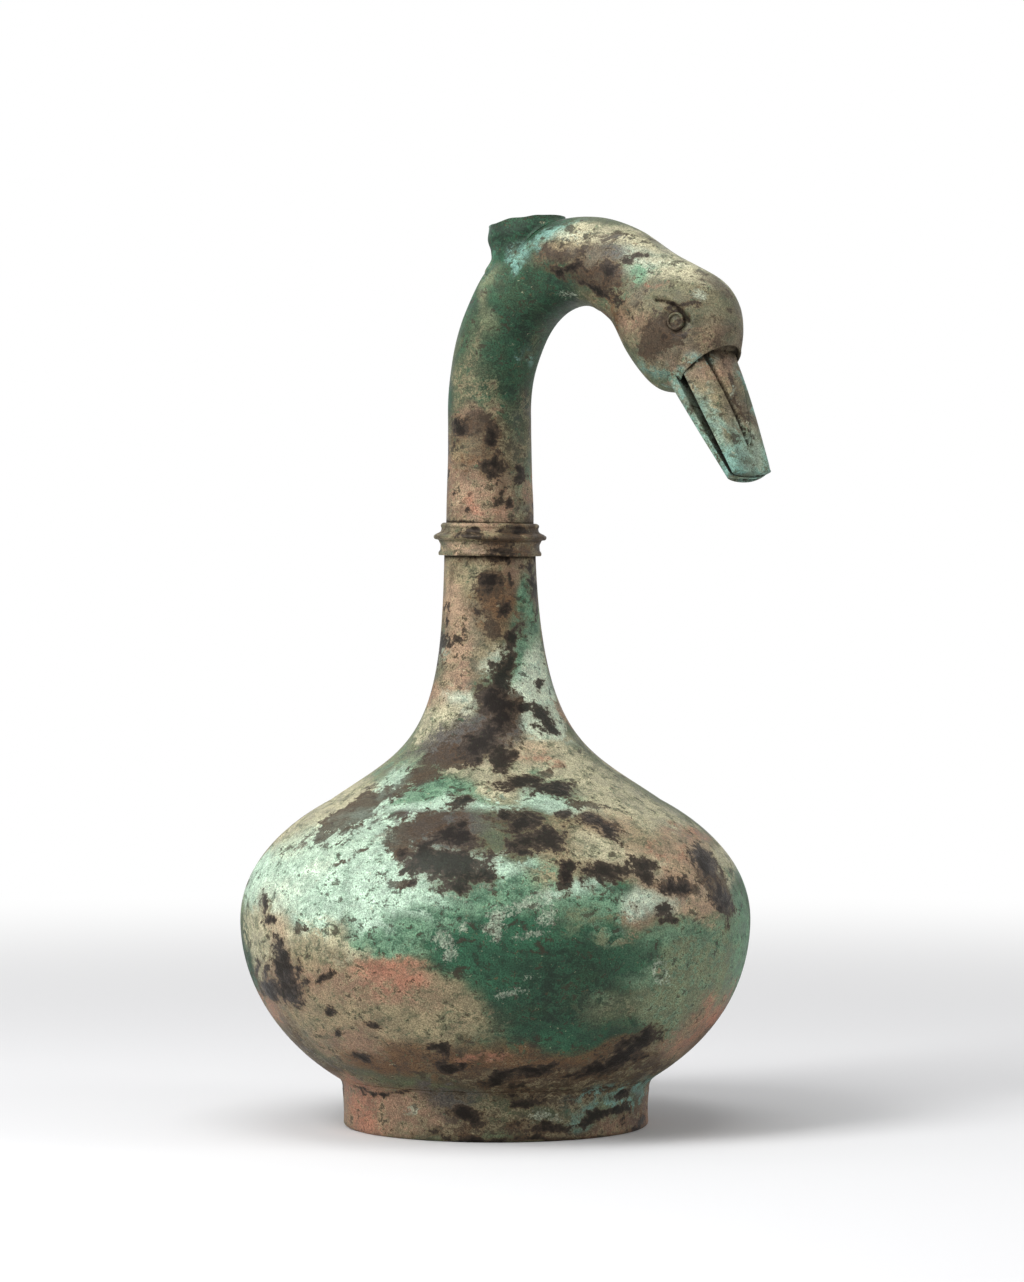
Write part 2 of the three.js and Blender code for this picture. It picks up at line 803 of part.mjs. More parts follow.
function bills() {
  const upper = upperBillSolid(0, billTenon).add(wedgeSolid());
  const lower = lowerBillSolid(0, billTenon);
  return [
    piece("upper_bill", geometryOf(upper), finishes.bill),
    piece("lower_bill", geometryOf(lower), finishes.bill),
  ];
}

const jar = new THREE.Group();
jar.name = "goose_head_wine_jar";
jar.add(footRing(), bellyShell(), ...spacers(), neckRing());
jar.add(gooseNeck(), mouthCollar(), gooseHead(), ...bills());
jar.add(eye("eye_left", 1), eye("eye_right", -1));

// The origin is under the middle of the whole jar, on the face that it stands on
jar.updateMatrixWorld(true);
const extent = new THREE.Box3().setFromObject(jar, true);
jar.position.x = -(extent.min.x + extent.max.x) / 2;

export default jar;
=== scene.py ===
# %% [markdown]
# # A goose-head wine jar in cast bronze
# The real jar is a hollow bronze casting: a round belly on a foot ring, a long neck with a
# stepped ring, a bend that turns over into a goose's head, and a filling mouth on the bend.
# Two thousand years in the ground have covered it with green, tan and red crusts.
# The lesson builds each casting as a dense mesh, then paints the crusts on to all of them
# together, so that a patch can run from one casting to the next.

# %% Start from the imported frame
import math
import random

import bmesh
import bpy
import numpy as np
from mathutils import Euler, Matrix, Vector, noise
from mathutils.bvhtree import BVHTree


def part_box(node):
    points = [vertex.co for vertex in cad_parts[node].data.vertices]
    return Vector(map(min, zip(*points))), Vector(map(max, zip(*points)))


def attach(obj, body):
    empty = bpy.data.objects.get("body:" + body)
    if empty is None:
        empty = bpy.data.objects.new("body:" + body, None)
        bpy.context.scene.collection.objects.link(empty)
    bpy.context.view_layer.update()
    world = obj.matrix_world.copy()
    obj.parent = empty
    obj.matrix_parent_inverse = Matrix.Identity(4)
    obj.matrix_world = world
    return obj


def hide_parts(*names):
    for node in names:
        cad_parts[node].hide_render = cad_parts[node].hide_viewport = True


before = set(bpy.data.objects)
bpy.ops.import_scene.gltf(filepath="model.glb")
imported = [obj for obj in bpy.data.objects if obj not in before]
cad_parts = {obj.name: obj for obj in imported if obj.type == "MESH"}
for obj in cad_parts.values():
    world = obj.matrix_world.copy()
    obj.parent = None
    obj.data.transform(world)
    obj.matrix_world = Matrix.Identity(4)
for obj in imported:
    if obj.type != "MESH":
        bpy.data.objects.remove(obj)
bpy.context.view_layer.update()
MM = 0.001
print("nodes in the frame:", len(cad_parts))

# %% [markdown]
# Cameras, lamps and meshes are all data until an object shows them, so one helper does that.
# Another ends the work on a bmesh by writing it into a mesh.

# %% Show data in the scene, and finish a bmesh
def shown(name, data):
    made = bpy.data.objects.new(name, data)
    bpy.context.scene.collection.objects.link(made)
    return made


def finished(name, bm):
    mesh = bpy.data.meshes.new(name)
    bm.to_mesh(mesh)
    bm.free()
    return mesh


# %% [markdown]
# ## Measures
# The frame says where each casting is. The driving sizes of the jar are read from it or
# written here once, in metres, so that each piece lands exactly where its casting stands.

# %% Measures of the jar
foot_low, foot_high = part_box("foot_ring")
belly_low, belly_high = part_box("belly_shell")
ring_low, ring_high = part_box("neck_collar")
neck_low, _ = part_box("goose_neck")
_, mouth_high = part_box("mouth_collar")
axis_x = (foot_low.x + foot_high.x) / 2
foot_radius = 61 * MM
foot_flare = 2.9 * MM
foot_height = foot_high.z
belly_radius = (belly_high.x - belly_low.x) / 2
waist_height = 82 * MM
bowl_depth = 79.5 * MM
shoulder_rise = 63.2 * MM
wall = 3 * MM
neck_axis_x = (ring_low.x + ring_high.x) / 2
set_back = axis_x - neck_axis_x
print("belly radius in mm:", round(belly_radius / MM, 1), "neck set back:", round(set_back / MM, 1))

# %% [markdown]
# ## Camera
# The photograph was taken with a long lens at the height of the neck ring, so the ring is
# seen as a flat line and the foot from a little above. A camera is made before the meshes,
# because the crust patches are later thrown on to the jar along its lines of sight.

# %% Camera at the photograph's place
photo_wide, photo_tall = 1024, 1282
focal_pixels = 4775
view_azimuth = math.radians(40)
camera_reach = 1.91
camera_height = 0.232
camera_aside = 6.4 * MM
camera_pitch = math.radians(1.15)


class Eye:
    """A place to look from: it turns points into photograph pixels and pixels into rays."""

    def __init__(self, azimuth, aside=camera_aside):
        self.right = Vector((math.cos(azimuth), math.sin(azimuth), 0))
        level = Vector((-math.sin(azimuth), math.cos(azimuth), 0))
        self.place = Vector((axis_x, 0, camera_height)) - level * camera_reach
        self.place += self.right * aside
        self.ahead = level * math.cos(camera_pitch) - Vector((0, 0, math.sin(camera_pitch)))
        self.up = self.right.cross(self.ahead)

    def ray(self, x, y):
        across = (x - photo_wide / 2) / focal_pixels
        down = (y - photo_tall / 2) / focal_pixels
        return (self.ahead + self.right * across - self.up * down).normalized()


front = Eye(view_azimuth)
camera_data = bpy.data.cameras.new("camera")
camera_data.sensor_width = 36
camera_data.lens = focal_pixels * camera_data.sensor_width / photo_tall
camera_data.dof.use_dof = False
camera = shown("camera", camera_data)
camera.matrix_world = Matrix.Translation(front.place) @ Matrix(
    (front.right, front.up, -front.ahead)
).transposed().to_4x4()
bpy.context.scene.camera = camera
print("lens in mm:", round(camera_data.lens, 1))

# %% [markdown]
# ## Helpers for making castings
# Everything on this jar is either turned or swept. A turned piece is a profile that is spun
# about a vertical axis. A swept piece is one ring of edges that is extruded again and again,
# with each new ring put where the form wants it. Both end as one closed skin.

# %% Keep a finished mesh
pieces = {}


def keep(name, bm, slot_name, *nodes):
    bmesh.ops.remove_doubles(bm, verts=bm.verts, dist=0.01 * MM)
    bmesh.ops.recalc_face_normals(bm, faces=bm.faces)
    mesh = finished(name, bm)
    for face in mesh.polygons:
        face.use_smooth = True
    piece = shown(name, mesh)
    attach(piece, "root")
    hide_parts(*nodes)
    pieces[name] = piece
    print(name, "has", len(mesh.polygons), "faces")
    return piece


# %% Spin a profile of (radius, height) points
def turned(profile, steps):
    bm = bmesh.new()
    points = [bm.verts.new((radius, 0, height)) for radius, height in profile]
    edges = [bm.edges.new(pair) for pair in zip(points, points[1:])]
    if profile[0][0] > 0:
        edges.append(bm.edges.new((points[-1], points[0])))
    bmesh.ops.spin(
        bm,
        geom=points + edges,
        cent=(0, 0, 0),
        axis=(0, 0, 1),
        angle=2 * math.pi,
        steps=steps,
        use_merge=True,
        use_duplicate=False,
    )
    return bm


# %% Sweep a ring through stations, each a function from an angle to a place
def swept(stations, around, closed=True):
    bm = bmesh.new()
    turn = bm.verts.layers.float.new("turn")
    ring = bmesh.ops.create_circle(bm, segments=around, radius=1)["verts"]
    for vert in ring:
        vert[turn] = math.atan2(vert.co.y, vert.co.x)
    edges = list(bm.edges)
    first = edges
    for count, station in enumerate(stations):
        if count:
            grown = bmesh.ops.extrude_edge_only(bm, edges=edges)["geom"]
            ring = [part for part in grown if isinstance(part, bmesh.types.BMVert)]
            fresh = set(ring)
            edges = [
                part
                for part in grown
                if isinstance(part, bmesh.types.BMEdge) and set(part.verts) <= fresh
            ]
        for vert in ring:
            vert.co = station(vert[turn])
    if closed:
        bmesh.ops.edgeloop_fill(bm, edges=first)
        bmesh.ops.edgeloop_fill(bm, edges=edges)
    else:
        bmesh.ops.bridge_loops(bm, edges=first + edges)
    return bm


# %% Ease from 0 to 1, blend, and a stretch of evenly spaced shares
def ease(value, low, high):
    share = min(1, max(0, (value - low) / (high - low)))
    return share * share * (3 - 2 * share)


def blend(low, high, share):
    return low + (high - low) * share


def shares(count):
    return [k / count for k in range(count + 1)]


# %% A bell curve for grooves and ridges, and a power that keeps the sign for boxy ovals
def bell(distance, width):
    return math.exp(-((distance / width) ** 2))


def boxed(value, power):
    return math.copysign(abs(value) ** power, value)


def away_from_axis(vert):
    return Vector((vert.co.x, vert.co.y, 0)).normalized()


def tree_of(piece):
    faces = [list(face.vertices) for face in piece.data.polygons]
    return BVHTree.FromPolygons([vert.co for vert in piece.data.vertices], faces)


# %% Points on a stretch of an ellipse, and the quarter turn that most of them cover
quarter = math.pi / 2


def arc(middle, across, upright, start, end, count):
    angles = [blend(start, end, share) for share in shares(count)]
    return [(middle[0] + across * math.cos(a), middle[1] + upright * math.sin(a)) for a in angles]


# %% [markdown]
# ## Belly
# The belly was poured in piece moulds as one casting with the shoulder and the lower neck.
# Its outline is two quarter ellipses and one long sweep, so the profile comes from those
# three formulas, and an inner line a wall's thickness away closes it. A slight wobble stops
# the light from running round it in perfect rings, which no hand-finished casting shows.

# %% Belly profile
neck_joint = belly_high.z
joint_radius = 18.2 * MM
sweep_start = 130 * MM
first_pull = Vector((35.5, 151.3)) * MM
second_pull = Vector((19.5, 152)) * MM
floor_wall = 3.2 * MM
hub_inset = 4.5 * MM
hub_round = 7 * MM
tuck = 1.2 * MM


def belly_radius_at(height):
    reach = bowl_depth if height < waist_height else shoulder_rise
    share = (height - waist_height) / reach
    return belly_radius * math.sqrt(max(0, 1 - share * share))


def sweep_at(share):
    ends = Vector((belly_radius_at(sweep_start), sweep_start)), Vector((joint_radius, neck_joint))
    back = 1 - share
    return (
        ends[0] * back**3
        + first_pull * 3 * back**2 * share
        + second_pull * 3 * back * share**2
        + ends[1] * share**3
    )


def belly_profile():
    """The outline up the outside, down the inside of the wall and back to the axis."""
    low, hub = belly_low.z, foot_radius - hub_inset
    outer = [(0, low), (hub - hub_round, low)]
    outer += arc((hub - hub_round, low + hub_round), hub_round, hub_round, -quarter, 0, 8)
    bowl_start = foot_height - tuck
    outer.append((hub, foot_height + 0.05 * MM))
    outer.append((belly_radius_at(bowl_start) - 1 * MM, bowl_start))
    for share in shares(60):
        height = blend(bowl_start, waist_height, math.sin(share * quarter))
        outer.append((belly_radius_at(height), height))
    for share in shares(34)[1:-1]:
        height = blend(waist_height, sweep_start, share)
        outer.append((belly_radius_at(height), height))
    outer += [tuple(sweep_at(share)) for share in shares(72)]

    inner = []
    for share in reversed(shares(20)[1:]):
        point = sweep_at(share)
        inner.append((point.x - wall * 0.95, point.y - 2 * MM * (1 - share)))
    inner[0] = (inner[0][0], neck_joint)
    waist, inner_radius, inner_rise = (0, waist_height), belly_radius - wall, shoulder_rise - wall
    inner_top = math.asin((sweep_start - waist_height - 2 * MM) / inner_rise)
    inner += arc(waist, inner_radius, inner_rise, inner_top, 0, 10)[:-1]
    floor = low + floor_wall
    inner += arc(waist, inner_radius, floor - waist_height, 0, quarter, 16)[:-1]
    return outer + inner + [(0, floor)]


# %% Belly casting
wobble = 0.35 * MM
lean_start = 118 * MM


def lean(height):
    return axis_x - set_back * ease(height, lean_start, neck_joint)


belly = turned(belly_profile(), 288)
for vert in belly.verts:
    swell = 1 + wobble / belly_radius * noise.noise(vert.co * 22) * 2
    vert.co.x = vert.co.x * swell + lean(vert.co.z)
    vert.co.y *= swell
keep(
    "belly",
    belly,
    "belly_bronze",
    "belly_shell",
    *[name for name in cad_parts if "spacer" in name],
)

# %% [markdown]
# ## Foot ring
# The foot is a plain band that flares softly up to the belly, worn round at its lower edge
# where it has been set down for centuries. Wear takes more at some places than at others, so
# the lower edge is lifted by noise, but never below the ground.

# %% Foot ring
foot_wall = 4.2 * MM
worn_round = 1.6 * MM
flare_height = 5.5 * MM


def foot_profile():
    inside = foot_radius - foot_wall
    points = [(inside, 0), (inside + 1 * MM, 0)]
    points += arc((foot_radius - worn_round, worn_round), worn_round, worn_round, -quarter, 0, 6)
    flare_start = foot_height - flare_height
    for share in shares(12)[1:]:
        leaned = (0.5 * share - 0.3 * math.sin(share * math.pi)) * MM
        points.append((foot_radius + leaned, blend(worn_round, flare_start, share)))
    for share in shares(12)[1:]:
        grown = 0.5 * MM * (1 - share) + foot_flare * share**2
        height = blend(flare_start, foot_height, share * (1.35 - 0.35 * share))
        points.append((foot_radius + grown, height))
    tucked = foot_radius + foot_flare - 0.3 * MM, foot_height + 0.3 * MM
    points += [tucked, (inside, foot_height), (inside, foot_height / 2)]
    return points


foot = turned(foot_profile(), 256)
for vert in foot.verts:
    rough = noise.noise(vert.co * 60)
    if vert.co.xy.length > foot_radius - 3 * MM:
        vert.co += away_from_axis(vert) * rough * 0.3 * MM
        if 0 < vert.co.z < 2 * MM:
            vert.co.z += max(0, rough) * 0.5 * MM
    vert.co.x += axis_x
keep("foot", foot, "foot_bronze", "foot_ring")

# %% [markdown]
# ## Neck ring
# The stepped ring covers the joint of the two neck castings: a low waisted band, a rounded
# flange that stands out, and a narrower waisted band above. The corners are crisp but not
# sharp, so each corner of the profile is cut by a short round before it is spun.

# %% Neck ring
def softened(corners, cut):
    """Each corner of a closed outline replaced by three points of a small round."""
    points = []
    count = len(corners)
    for k, corner in enumerate(corners):
        here = Vector(corner)
        before = Vector(corners[k - 1]) - here
        after = Vector(corners[(k + 1) % count]) - here
        reach = min(cut, before.length * 0.45, after.length * 0.45)
        start = here + before.normalized() * reach
        end = here + after.normalized() * reach
        points += [tuple(start), tuple(start * 0.25 + here * 0.5 + end * 0.25), tuple(end)]
    return points


ring_bore, collar_bore, ring_skin = 18.8 * MM, 17.7 * MM, 19.2 * MM


def ring_profile():
    bottom, top = ring_low.z, ring_high.z
    lip = ring_high.x - neck_axis_x
    shelf = bottom + 6 * MM
    corners = [
        (ring_bore, bottom),
        (20.5 * MM, bottom),
        (20.7 * MM, bottom + 1.1 * MM),
        (19.9 * MM, bottom + 2.2 * MM),
        (19.8 * MM, shelf - 1.6 * MM),
        (20.3 * MM, shelf - 0.6 * MM),
        (20.6 * MM, shelf + 0.2 * MM),
        (lip - 0.5 * MM, shelf + 0.4 * MM),
        (lip, shelf + 1.1 * MM),
        (lip - 0.1 * MM, shelf + 1.9 * MM),
        (lip - 1.3 * MM, shelf + 2.7 * MM),
        (20.3 * MM, shelf + 3.1 * MM),
        (19.5 * MM, shelf + 3.7 * MM),
        (19.3 * MM, shelf + 5.0 * MM),
        (19.7 * MM, top - 1.3 * MM),
        (19.6 * MM, top - 0.6 * MM),
        (18.7 * MM, top),
        (collar_bore, top),
        (collar_bore, neck_low.z),
        (ring_bore, neck_low.z),
    ]
    return softened(corners, 0.35 * MM)


ring = turned(ring_profile(), 192)
ring_tilt = 0.6 * math.tan(math.radians(1.2))
for vert in ring.verts:
    if vert.co.xy.length > ring_skin:
        vert.co += away_from_axis(vert) * noise.noise(vert.co * 90) * 0.3 * MM
        vert.co.z += noise.noise(vert.co * 45 + Vector((3, 1, 4))) * 0.25 * MM
    vert.co.z -= (vert.co.x + vert.co.y * 0.4) * ring_tilt
    vert.co.x += neck_axis_x
keep("ring", ring, "collar_bronze", "neck_collar")

# %% [markdown]
# ## Bent neck
# The upper neck is a tube on a path of one straight run and three arcs. A walker goes along
# the path and says, at each distance, where the tube's section stands and which way it faces.
# The skin goes up the outside of the tube and comes back down its inside.

# %% Path of the neck
class Stand:
    """Where a section stands in the jar's middle plane, and which way it faces."""

    def __init__(self, x, z, heading):
        self.centre = Vector((x, 0, z))
        self.heading = heading
        self.forward = Vector((math.cos(heading), 0, math.sin(heading)))
        self.upward = Vector((-math.sin(heading), 0, math.cos(heading)))

    def moved(self, along, up, turn=0):
        centre = self.centre + self.forward * along + self.upward * up
        return Stand(centre.x, centre.z, self.heading - math.radians(turn))

    def at(self, side, up):
        return self.centre + self.upward * up + Vector((0, side, 0))


neck_legs = [
    (None, 51 * MM),
    (80 * MM, math.radians(24)),
    (45.5 * MM, math.radians(66)),
    (41 * MM, math.radians(28)),
]
leg_lengths = [size if radius is None else radius * size for radius, size in neck_legs]
neck_length = sum(leg_lengths)


def neck_stand(distance):
    x, z, heading = neck_axis_x, neck_low.z, math.pi / 2
    for (radius, _), length in zip(neck_legs, leg_lengths):
        step = min(distance, length)
        if radius is None:
            x += step * math.cos(heading)
            z += step * math.sin(heading)
        else:
            after = heading - step / radius
            x += radius * (math.sin(heading) - math.sin(after))
            z += radius * (math.cos(after) - math.cos(heading))
            heading = after
        distance -= step
        if distance <= 0:
            break
    return Stand(x, z, heading)


def neck_radius_at(distance):
    slim = blend(17.4, 16.5, ease(distance, 0, leg_lengths[0]))
    return blend(slim, 17.6, ease(distance, leg_lengths[0], neck_length * 0.7)) * MM


print("neck length in mm:", round(neck_length / MM, 1))

# %% Neck casting
neck_wall = 2.8 * MM


def dent(place):
    return noise.noise(place * 50) * 0.5 * MM


def neck_station(distance, inset):
    stand = neck_stand(distance)
    radius = neck_radius_at(distance) - inset

    def place(angle):
        side, up = math.cos(angle), math.sin(angle)
        grown = radius + (0 if inset else dent(stand.at(radius * side, radius * up)))
        return stand.at(grown * side, grown * up)

    return place


neck_rings = [neck_station(neck_length * share, 0) for share in shares(170)[:-1]]
neck_rings += [neck_station(neck_length - 0.3 * MM, 0), neck_station(neck_length, 0)]
neck_rings += [neck_station(neck_length, 1.2 * MM)]
neck_rings += [neck_station(neck_length * share, neck_wall) for share in reversed(shares(60))]
neck_mesh = swept(neck_rings, 112, closed=False)
neck = keep("bent_neck", neck_mesh, "neck_bronze", "goose_neck")

# %% [markdown]
# The filling mouth opens into the bend, so the neck gets a hole there: an upright cylinder,
# tilted with the mouth, is taken out of the tube with an exact boolean.

# %% Hole under the filling mouth
mouth_x = axis_x + 16.2 * MM
mouth_top = mouth_high.z - 2.4 * MM
mouth_tilt = math.radians(9)
well_radius, well_depth, well_drop = 12.6 * MM, 30 * MM, 10 * MM


def cut_away(piece, cutter):
    """Takes a closed cutter out of a piece with an exact boolean and keeps the result."""
    bmesh.ops.recalc_face_normals(cutter, faces=cutter.faces)
    tool = shown("cutter", finished("cutter", cutter))
    modifier = piece.modifiers.new("cut", "BOOLEAN")
    modifier.operation = "DIFFERENCE"
    modifier.solver = "EXACT"
    modifier.object = tool
    graph = bpy.context.evaluated_depsgraph_get()
    result = bpy.data.meshes.new_from_object(piece.evaluated_get(graph))
    piece.modifiers.clear()
    old = piece.data
    piece.data = result
    piece.data.name = piece.name
    bpy.data.meshes.remove(old)
    bpy.data.objects.remove(tool)
    for face in result.polygons:
        face.use_smooth = True
    print(piece.name, "after the cut has", len(result.polygons), "faces")


mouth_frame = Matrix.Translation((mouth_x, 0, mouth_top)) @ Matrix.Rotation(-mouth_tilt, 4, "Y")
well = bmesh.new()
bmesh.ops.create_cone(
    well, cap_ends=True, segments=64, radius1=well_radius, radius2=well_radius, depth=well_depth
)
well_frame = mouth_frame @ Matrix.Translation((0, 0, -well_drop))
bmesh.ops.transform(well, matrix=well_frame, verts=well.verts)
cut_away(neck, well)

# %% [markdown]
# ## Filling mouth
# The mouth is a short lipped collar that stands on the bend. Its foot has to follow the curved
# neck, so the collar is swept as a sleeve, and the foot of each of its lines lies where a ray
# down the collar meets the neck. It flares there into a small fillet, widest at the back.

# %% Filling mouth
mouth_rim, mouth_lip, mouth_waist = 15.4 * MM, 16.4 * MM, 15.6 * MM
mouth_lip_depth, mouth_waist_depth = 5.6 * MM, 10 * MM
neck_tree = tree_of(neck)
mouth_down = mouth_frame.to_3x3() @ Vector((0, 0, -1))
ray_rise = 6 * MM
longest_line = 24 * MM


def mouth_radius_at(depth):
    lip = blend(mouth_rim, mouth_lip, ease(depth, 0, mouth_lip_depth))
    return blend(lip, mouth_waist, ease(depth, mouth_lip_depth, mouth_waist_depth))


def mouth_foot(side):
    """How far out and how far down a line of the collar meets the neck, and its fillet."""
    back = ease(-side.x, -0.2, 0.9)
    reach = mouth_waist + blend(0.9, 3.6, back) * MM
    start = mouth_frame @ (side * reach + Vector((0, 0, ray_rise)))
    hit, _, _, length = neck_tree.ray_cast(start, mouth_down)
    return reach, (length if hit else longest_line) - ray_rise, blend(2.2, 8, back) * MM


def mouth_station(share, inner):
    def place(angle):
        side = Vector((math.cos(angle), math.sin(angle), 0))
        reach, foot_depth, fillet = mouth_foot(side)
        depth = foot_depth * share
        radius = mouth_radius_at(depth)
        worn = noise.noise(side * 2.2 + Vector((0, 0, depth * 90)))
        if inner:
            radius -= blend(1.7, 2.4, ease(share, 0, 0.3)) * MM
        else:
            radius += (reach - mouth_waist) * (1 - ease(foot_depth - depth, 0, fillet)) ** 2
        chip = 0.5 * MM * (1 - ease(share, 0, 0.1)) * (0.5 + worn)
        drop = depth + chip + (1.2 * MM if inner and share == 1 else 0)
        return mouth_frame @ (side * (radius + worn * 0.25 * MM) - Vector((0, 0, drop)))

    return place


mouth_rings = [mouth_station(1 - share, False) for share in shares(34)]
mouth_rings += [mouth_station(share, True) for share in shares(12)]
keep("filling_mouth", swept(mouth_rings, 128, closed=False), "mouth_bronze", "mouth_collar")

# %% [markdown]
# ## Head
# The head is swept too, but its sections are ovals that swell into cheeks and close towards
# the bill. A table of seven sections gives the form, and a smooth curve runs through
# them. The brow is a groove with a soft ridge above it, and the eye lies in a shallow hollow,
# so both are pressed into the cheek as the rings are placed.

# %% Sections of the head: distance, rise, turn, half width and half depth
head_droop, bill_droop = 38, 61
nape = neck_stand(neck_length)
head_stand = Stand(nape.centre.x, nape.centre.z, -math.radians(head_droop))
head_rows = [
    (0.0, 0.6, -10, 17.4, 16.8),
    (13.0, 1.3, -2, 17.4, 18.2),
    (26.0, 0.4, 0, 18.4, 22.2),
    (39.0, 0.6, 2, 19.0, 24.4),
    (47.5, -0.4, 6, 17.0, 23.4),
    (53.6, -2.1, 10, 14.9, 19.4),
    (57.5, -3.4, 12, 14.2, 14.0),
]
face_along, face_rise, face_turn = head_rows[-1][:3]


def curve_value(column, share):
    """A Catmull-Rom curve through one column of the table."""
    last = len(head_rows) - 1
    place = min(share * last, last - 1e-6)
    k = int(place)
    t = place - k
    a, b, c, d = (head_rows[min(max(k + step, 0), last)][column] for step in (-1, 0, 1, 2))
    return 0.5 * (
        2 * b + (c - a) * t + (2 * a - 5 * b + 4 * c - d) * t * t + (3 * b - a - 3 * c + d) * t**3
    )


def head_section(share):
    along, above, turn, half_width, half_depth = (curve_value(k, share) for k in range(5))
    stand = head_stand.moved(along * MM, above * MM, turn)
    return stand, half_width * MM, half_depth * MM


# %% Brow and eye socket, measured along the head and above its middle line
eye_share = 0.585
eye_above = 7.8 * MM
eye_spot = Vector((curve_value(0, eye_share) * MM, eye_above))
brow = [Vector(point) * MM for point in ((31.9, 8.6), (35.5, 10.8), (41.1, 12.0), (46.6, 11.6))]


def brow_distance(spot):
    """Distance from the brow line, and whether the spot lies above it."""
    best = None
    for start, end in zip(brow, brow[1:]):
        share = (spot - start).dot(end - start) / (end - start).length_squared
        near = start.lerp(end, min(1, max(0, share)))
        gap = (spot - near).length
        if best is None or gap < best[0]:
            best = gap, spot.y > near.y
    return best


def cheek_relief(along, up):
    spot = Vector((along, up))
    gap, above = brow_distance(spot)
    groove = 1.3 * MM * bell(gap, 0.75 * MM)
    ridge = 0.8 * MM * bell(gap - 1.9 * MM, 1.3 * MM) if above else 0
    socket = 1.0 * MM * (1 - ease((spot - eye_spot).length, 3.2 * MM, 7 * MM))
    return ridge - groove - socket


# %% Head casting
nape_stretch = 12 * MM


def head_station(share):
    stand, half_width, half_depth = head_section(share)
    along = curve_value(0, share) * MM
    grown = ease(along, 0, nape_stretch)
    half_width, half_depth = (
        blend(neck_radius_at(neck_length), size, grown) for size in (half_width, half_depth)
    )
    centre = nape.centre.lerp(stand.centre, grown)
    stand = Stand(centre.x, centre.z, stand.heading)

    def place(angle):
        side, up = half_width * math.cos(angle), half_depth * math.sin(angle)
        outward = Vector((math.cos(angle) / half_width, math.sin(angle) / half_depth))
        outward.normalize()
        relief = cheek_relief(along, up) * ease(abs(math.cos(angle)), 0.2, 0.5)
        relief += dent(stand.at(side, up))
        return stand.at(side + outward.x * relief, up + outward.y * relief)

    return place


def face_station(shrink, forward):
    stand, half_width, half_depth = head_section(1)
    ahead = stand.moved(forward, 0)
    return lambda angle: ahead.at(
        half_width * shrink * math.cos(angle), half_depth * shrink * math.sin(angle)
    )


def head_tuck(angle):
    """The head's first ring lies just inside the neck, so that no gap shows at the joint."""
    rim = 16.6 * MM
    return nape.moved(-1.5 * MM, 0).at(rim * math.cos(angle), rim * math.sin(angle))


head_rings = [head_tuck, head_station(0), head_station(0.004)]
head_rings += [head_station(share) for share in shares(150)[1:]]
head_rings += [
    face_station(shrink, forward * MM)
    for shrink, forward in ((0.985, 0.5), (0.96, 0.7), (0.93, 0.5), (0.91, -0.8), (0.5, -0.8))
]
keep("head", swept(head_rings, 272), "head_bronze", "goose_head")

# %% [markdown]
# ## Bills
# Two flat blades leave a slit between them, through which the wine ran. The upper one is
# nearly a box in section and carries a raised wedge that starts wide at the forehead and ends
# in a point. The blades are swept as well, and the wedge is a height that is added only inside
# its triangle, with a groove along its flanks.

# %% Bill sections
face_stand = head_stand.moved(face_along * MM, face_rise * MM, face_turn)
bill_stand = face_stand.moved(0, -1.8 * MM, bill_droop - head_droop - face_turn)
bill_length = 45.2 * MM
tip_round = 1.4 * MM


def bill_half(share):
    return blend(13.3, 11.6, share) * MM


def crown_at(share):
    return blend(8.6, 1.8, share**1.6) * MM


def wedge_at(along, side):
    length = 35.5 * MM
    inside = 8.3 * MM * (1 - along / length) - abs(side)
    fade = ease(length + 3 * MM - along, 0, 4 * MM)
    raised = 1.5 * MM * ease(inside, -0.2 * MM, 0.4 * MM)
    groove = 0.8 * MM * bell(inside + 0.6 * MM, 0.7 * MM)
    return (raised - groove) * fade


def tip_bulge(share, side, half):
    return tip_round * (1 - (side / half) ** 2) * ease(share, 0.8, 1)


def upper_station(share, tenon=0):
    half = bill_half(share)
    low = -blend(3.2, 1.5, share) * MM
    ledge = low + 4.1 * MM * blend(1, 0.6, share)

    def place(angle):
        side = half * boxed(math.cos(angle), 0.75)
        stand = bill_stand.moved(bill_length * share - tenon + tip_bulge(share, side, half), 0)
        if angle <= 0:
            return stand.at(side, low * abs(math.sin(angle)) ** 0.35)
        arch = crown_at(share) * abs(math.sin(angle)) ** 0.35
        groove = 0.45 * MM * bell(arch - ledge, 0.5 * MM)
        inset = groove + 0.7 * MM * ease(arch, ledge - 0.3 * MM, ledge + 0.5 * MM)
        outer = side * (1 - inset / half * ease(abs(side) / half, 0.75, 0.95))
        return stand.at(outer, arch + wedge_at(bill_length * share, side))

    return place


def lower_station(share, tenon=0):
    half = bill_half(share) - 0.5 * MM
    hollow = 0.8 * MM * math.sin(share * math.pi)
    top = -blend(5.6, 1.9, share) * MM - hollow
    depth = blend(6.4, 3.8, share) * MM - hollow

    def place(angle):
        side = half * boxed(math.cos(angle), 0.7)
        stand = bill_stand.moved(bill_length * share - tenon + tip_bulge(share, side, half), 0)
        if angle >= 0:
            return stand.at(side, top - 0.5 * MM * (1 - abs(math.sin(angle)) ** 0.3))
        return stand.at(side, top - depth * (0.3 + 0.7 * abs(math.sin(angle)) ** 0.6))

    return place


# %% Bill castings
def bill_rings(station, steps):
    return [station(0, 3 * MM)] + [station(share) for share in shares(steps)]


keep("bill_upper", swept(bill_rings(upper_station, 110), 192), "bill_bronze", "upper_bill")
keep("bill_lower", swept(bill_rings(lower_station, 70), 96), "bill_bronze", "lower_bill")

# %% [markdown]
# ## Eyes
# Each eye is a small ring with a sunk pupil. It is spun flat and then set in its socket, along
# the normal that the head's oval has at that place.

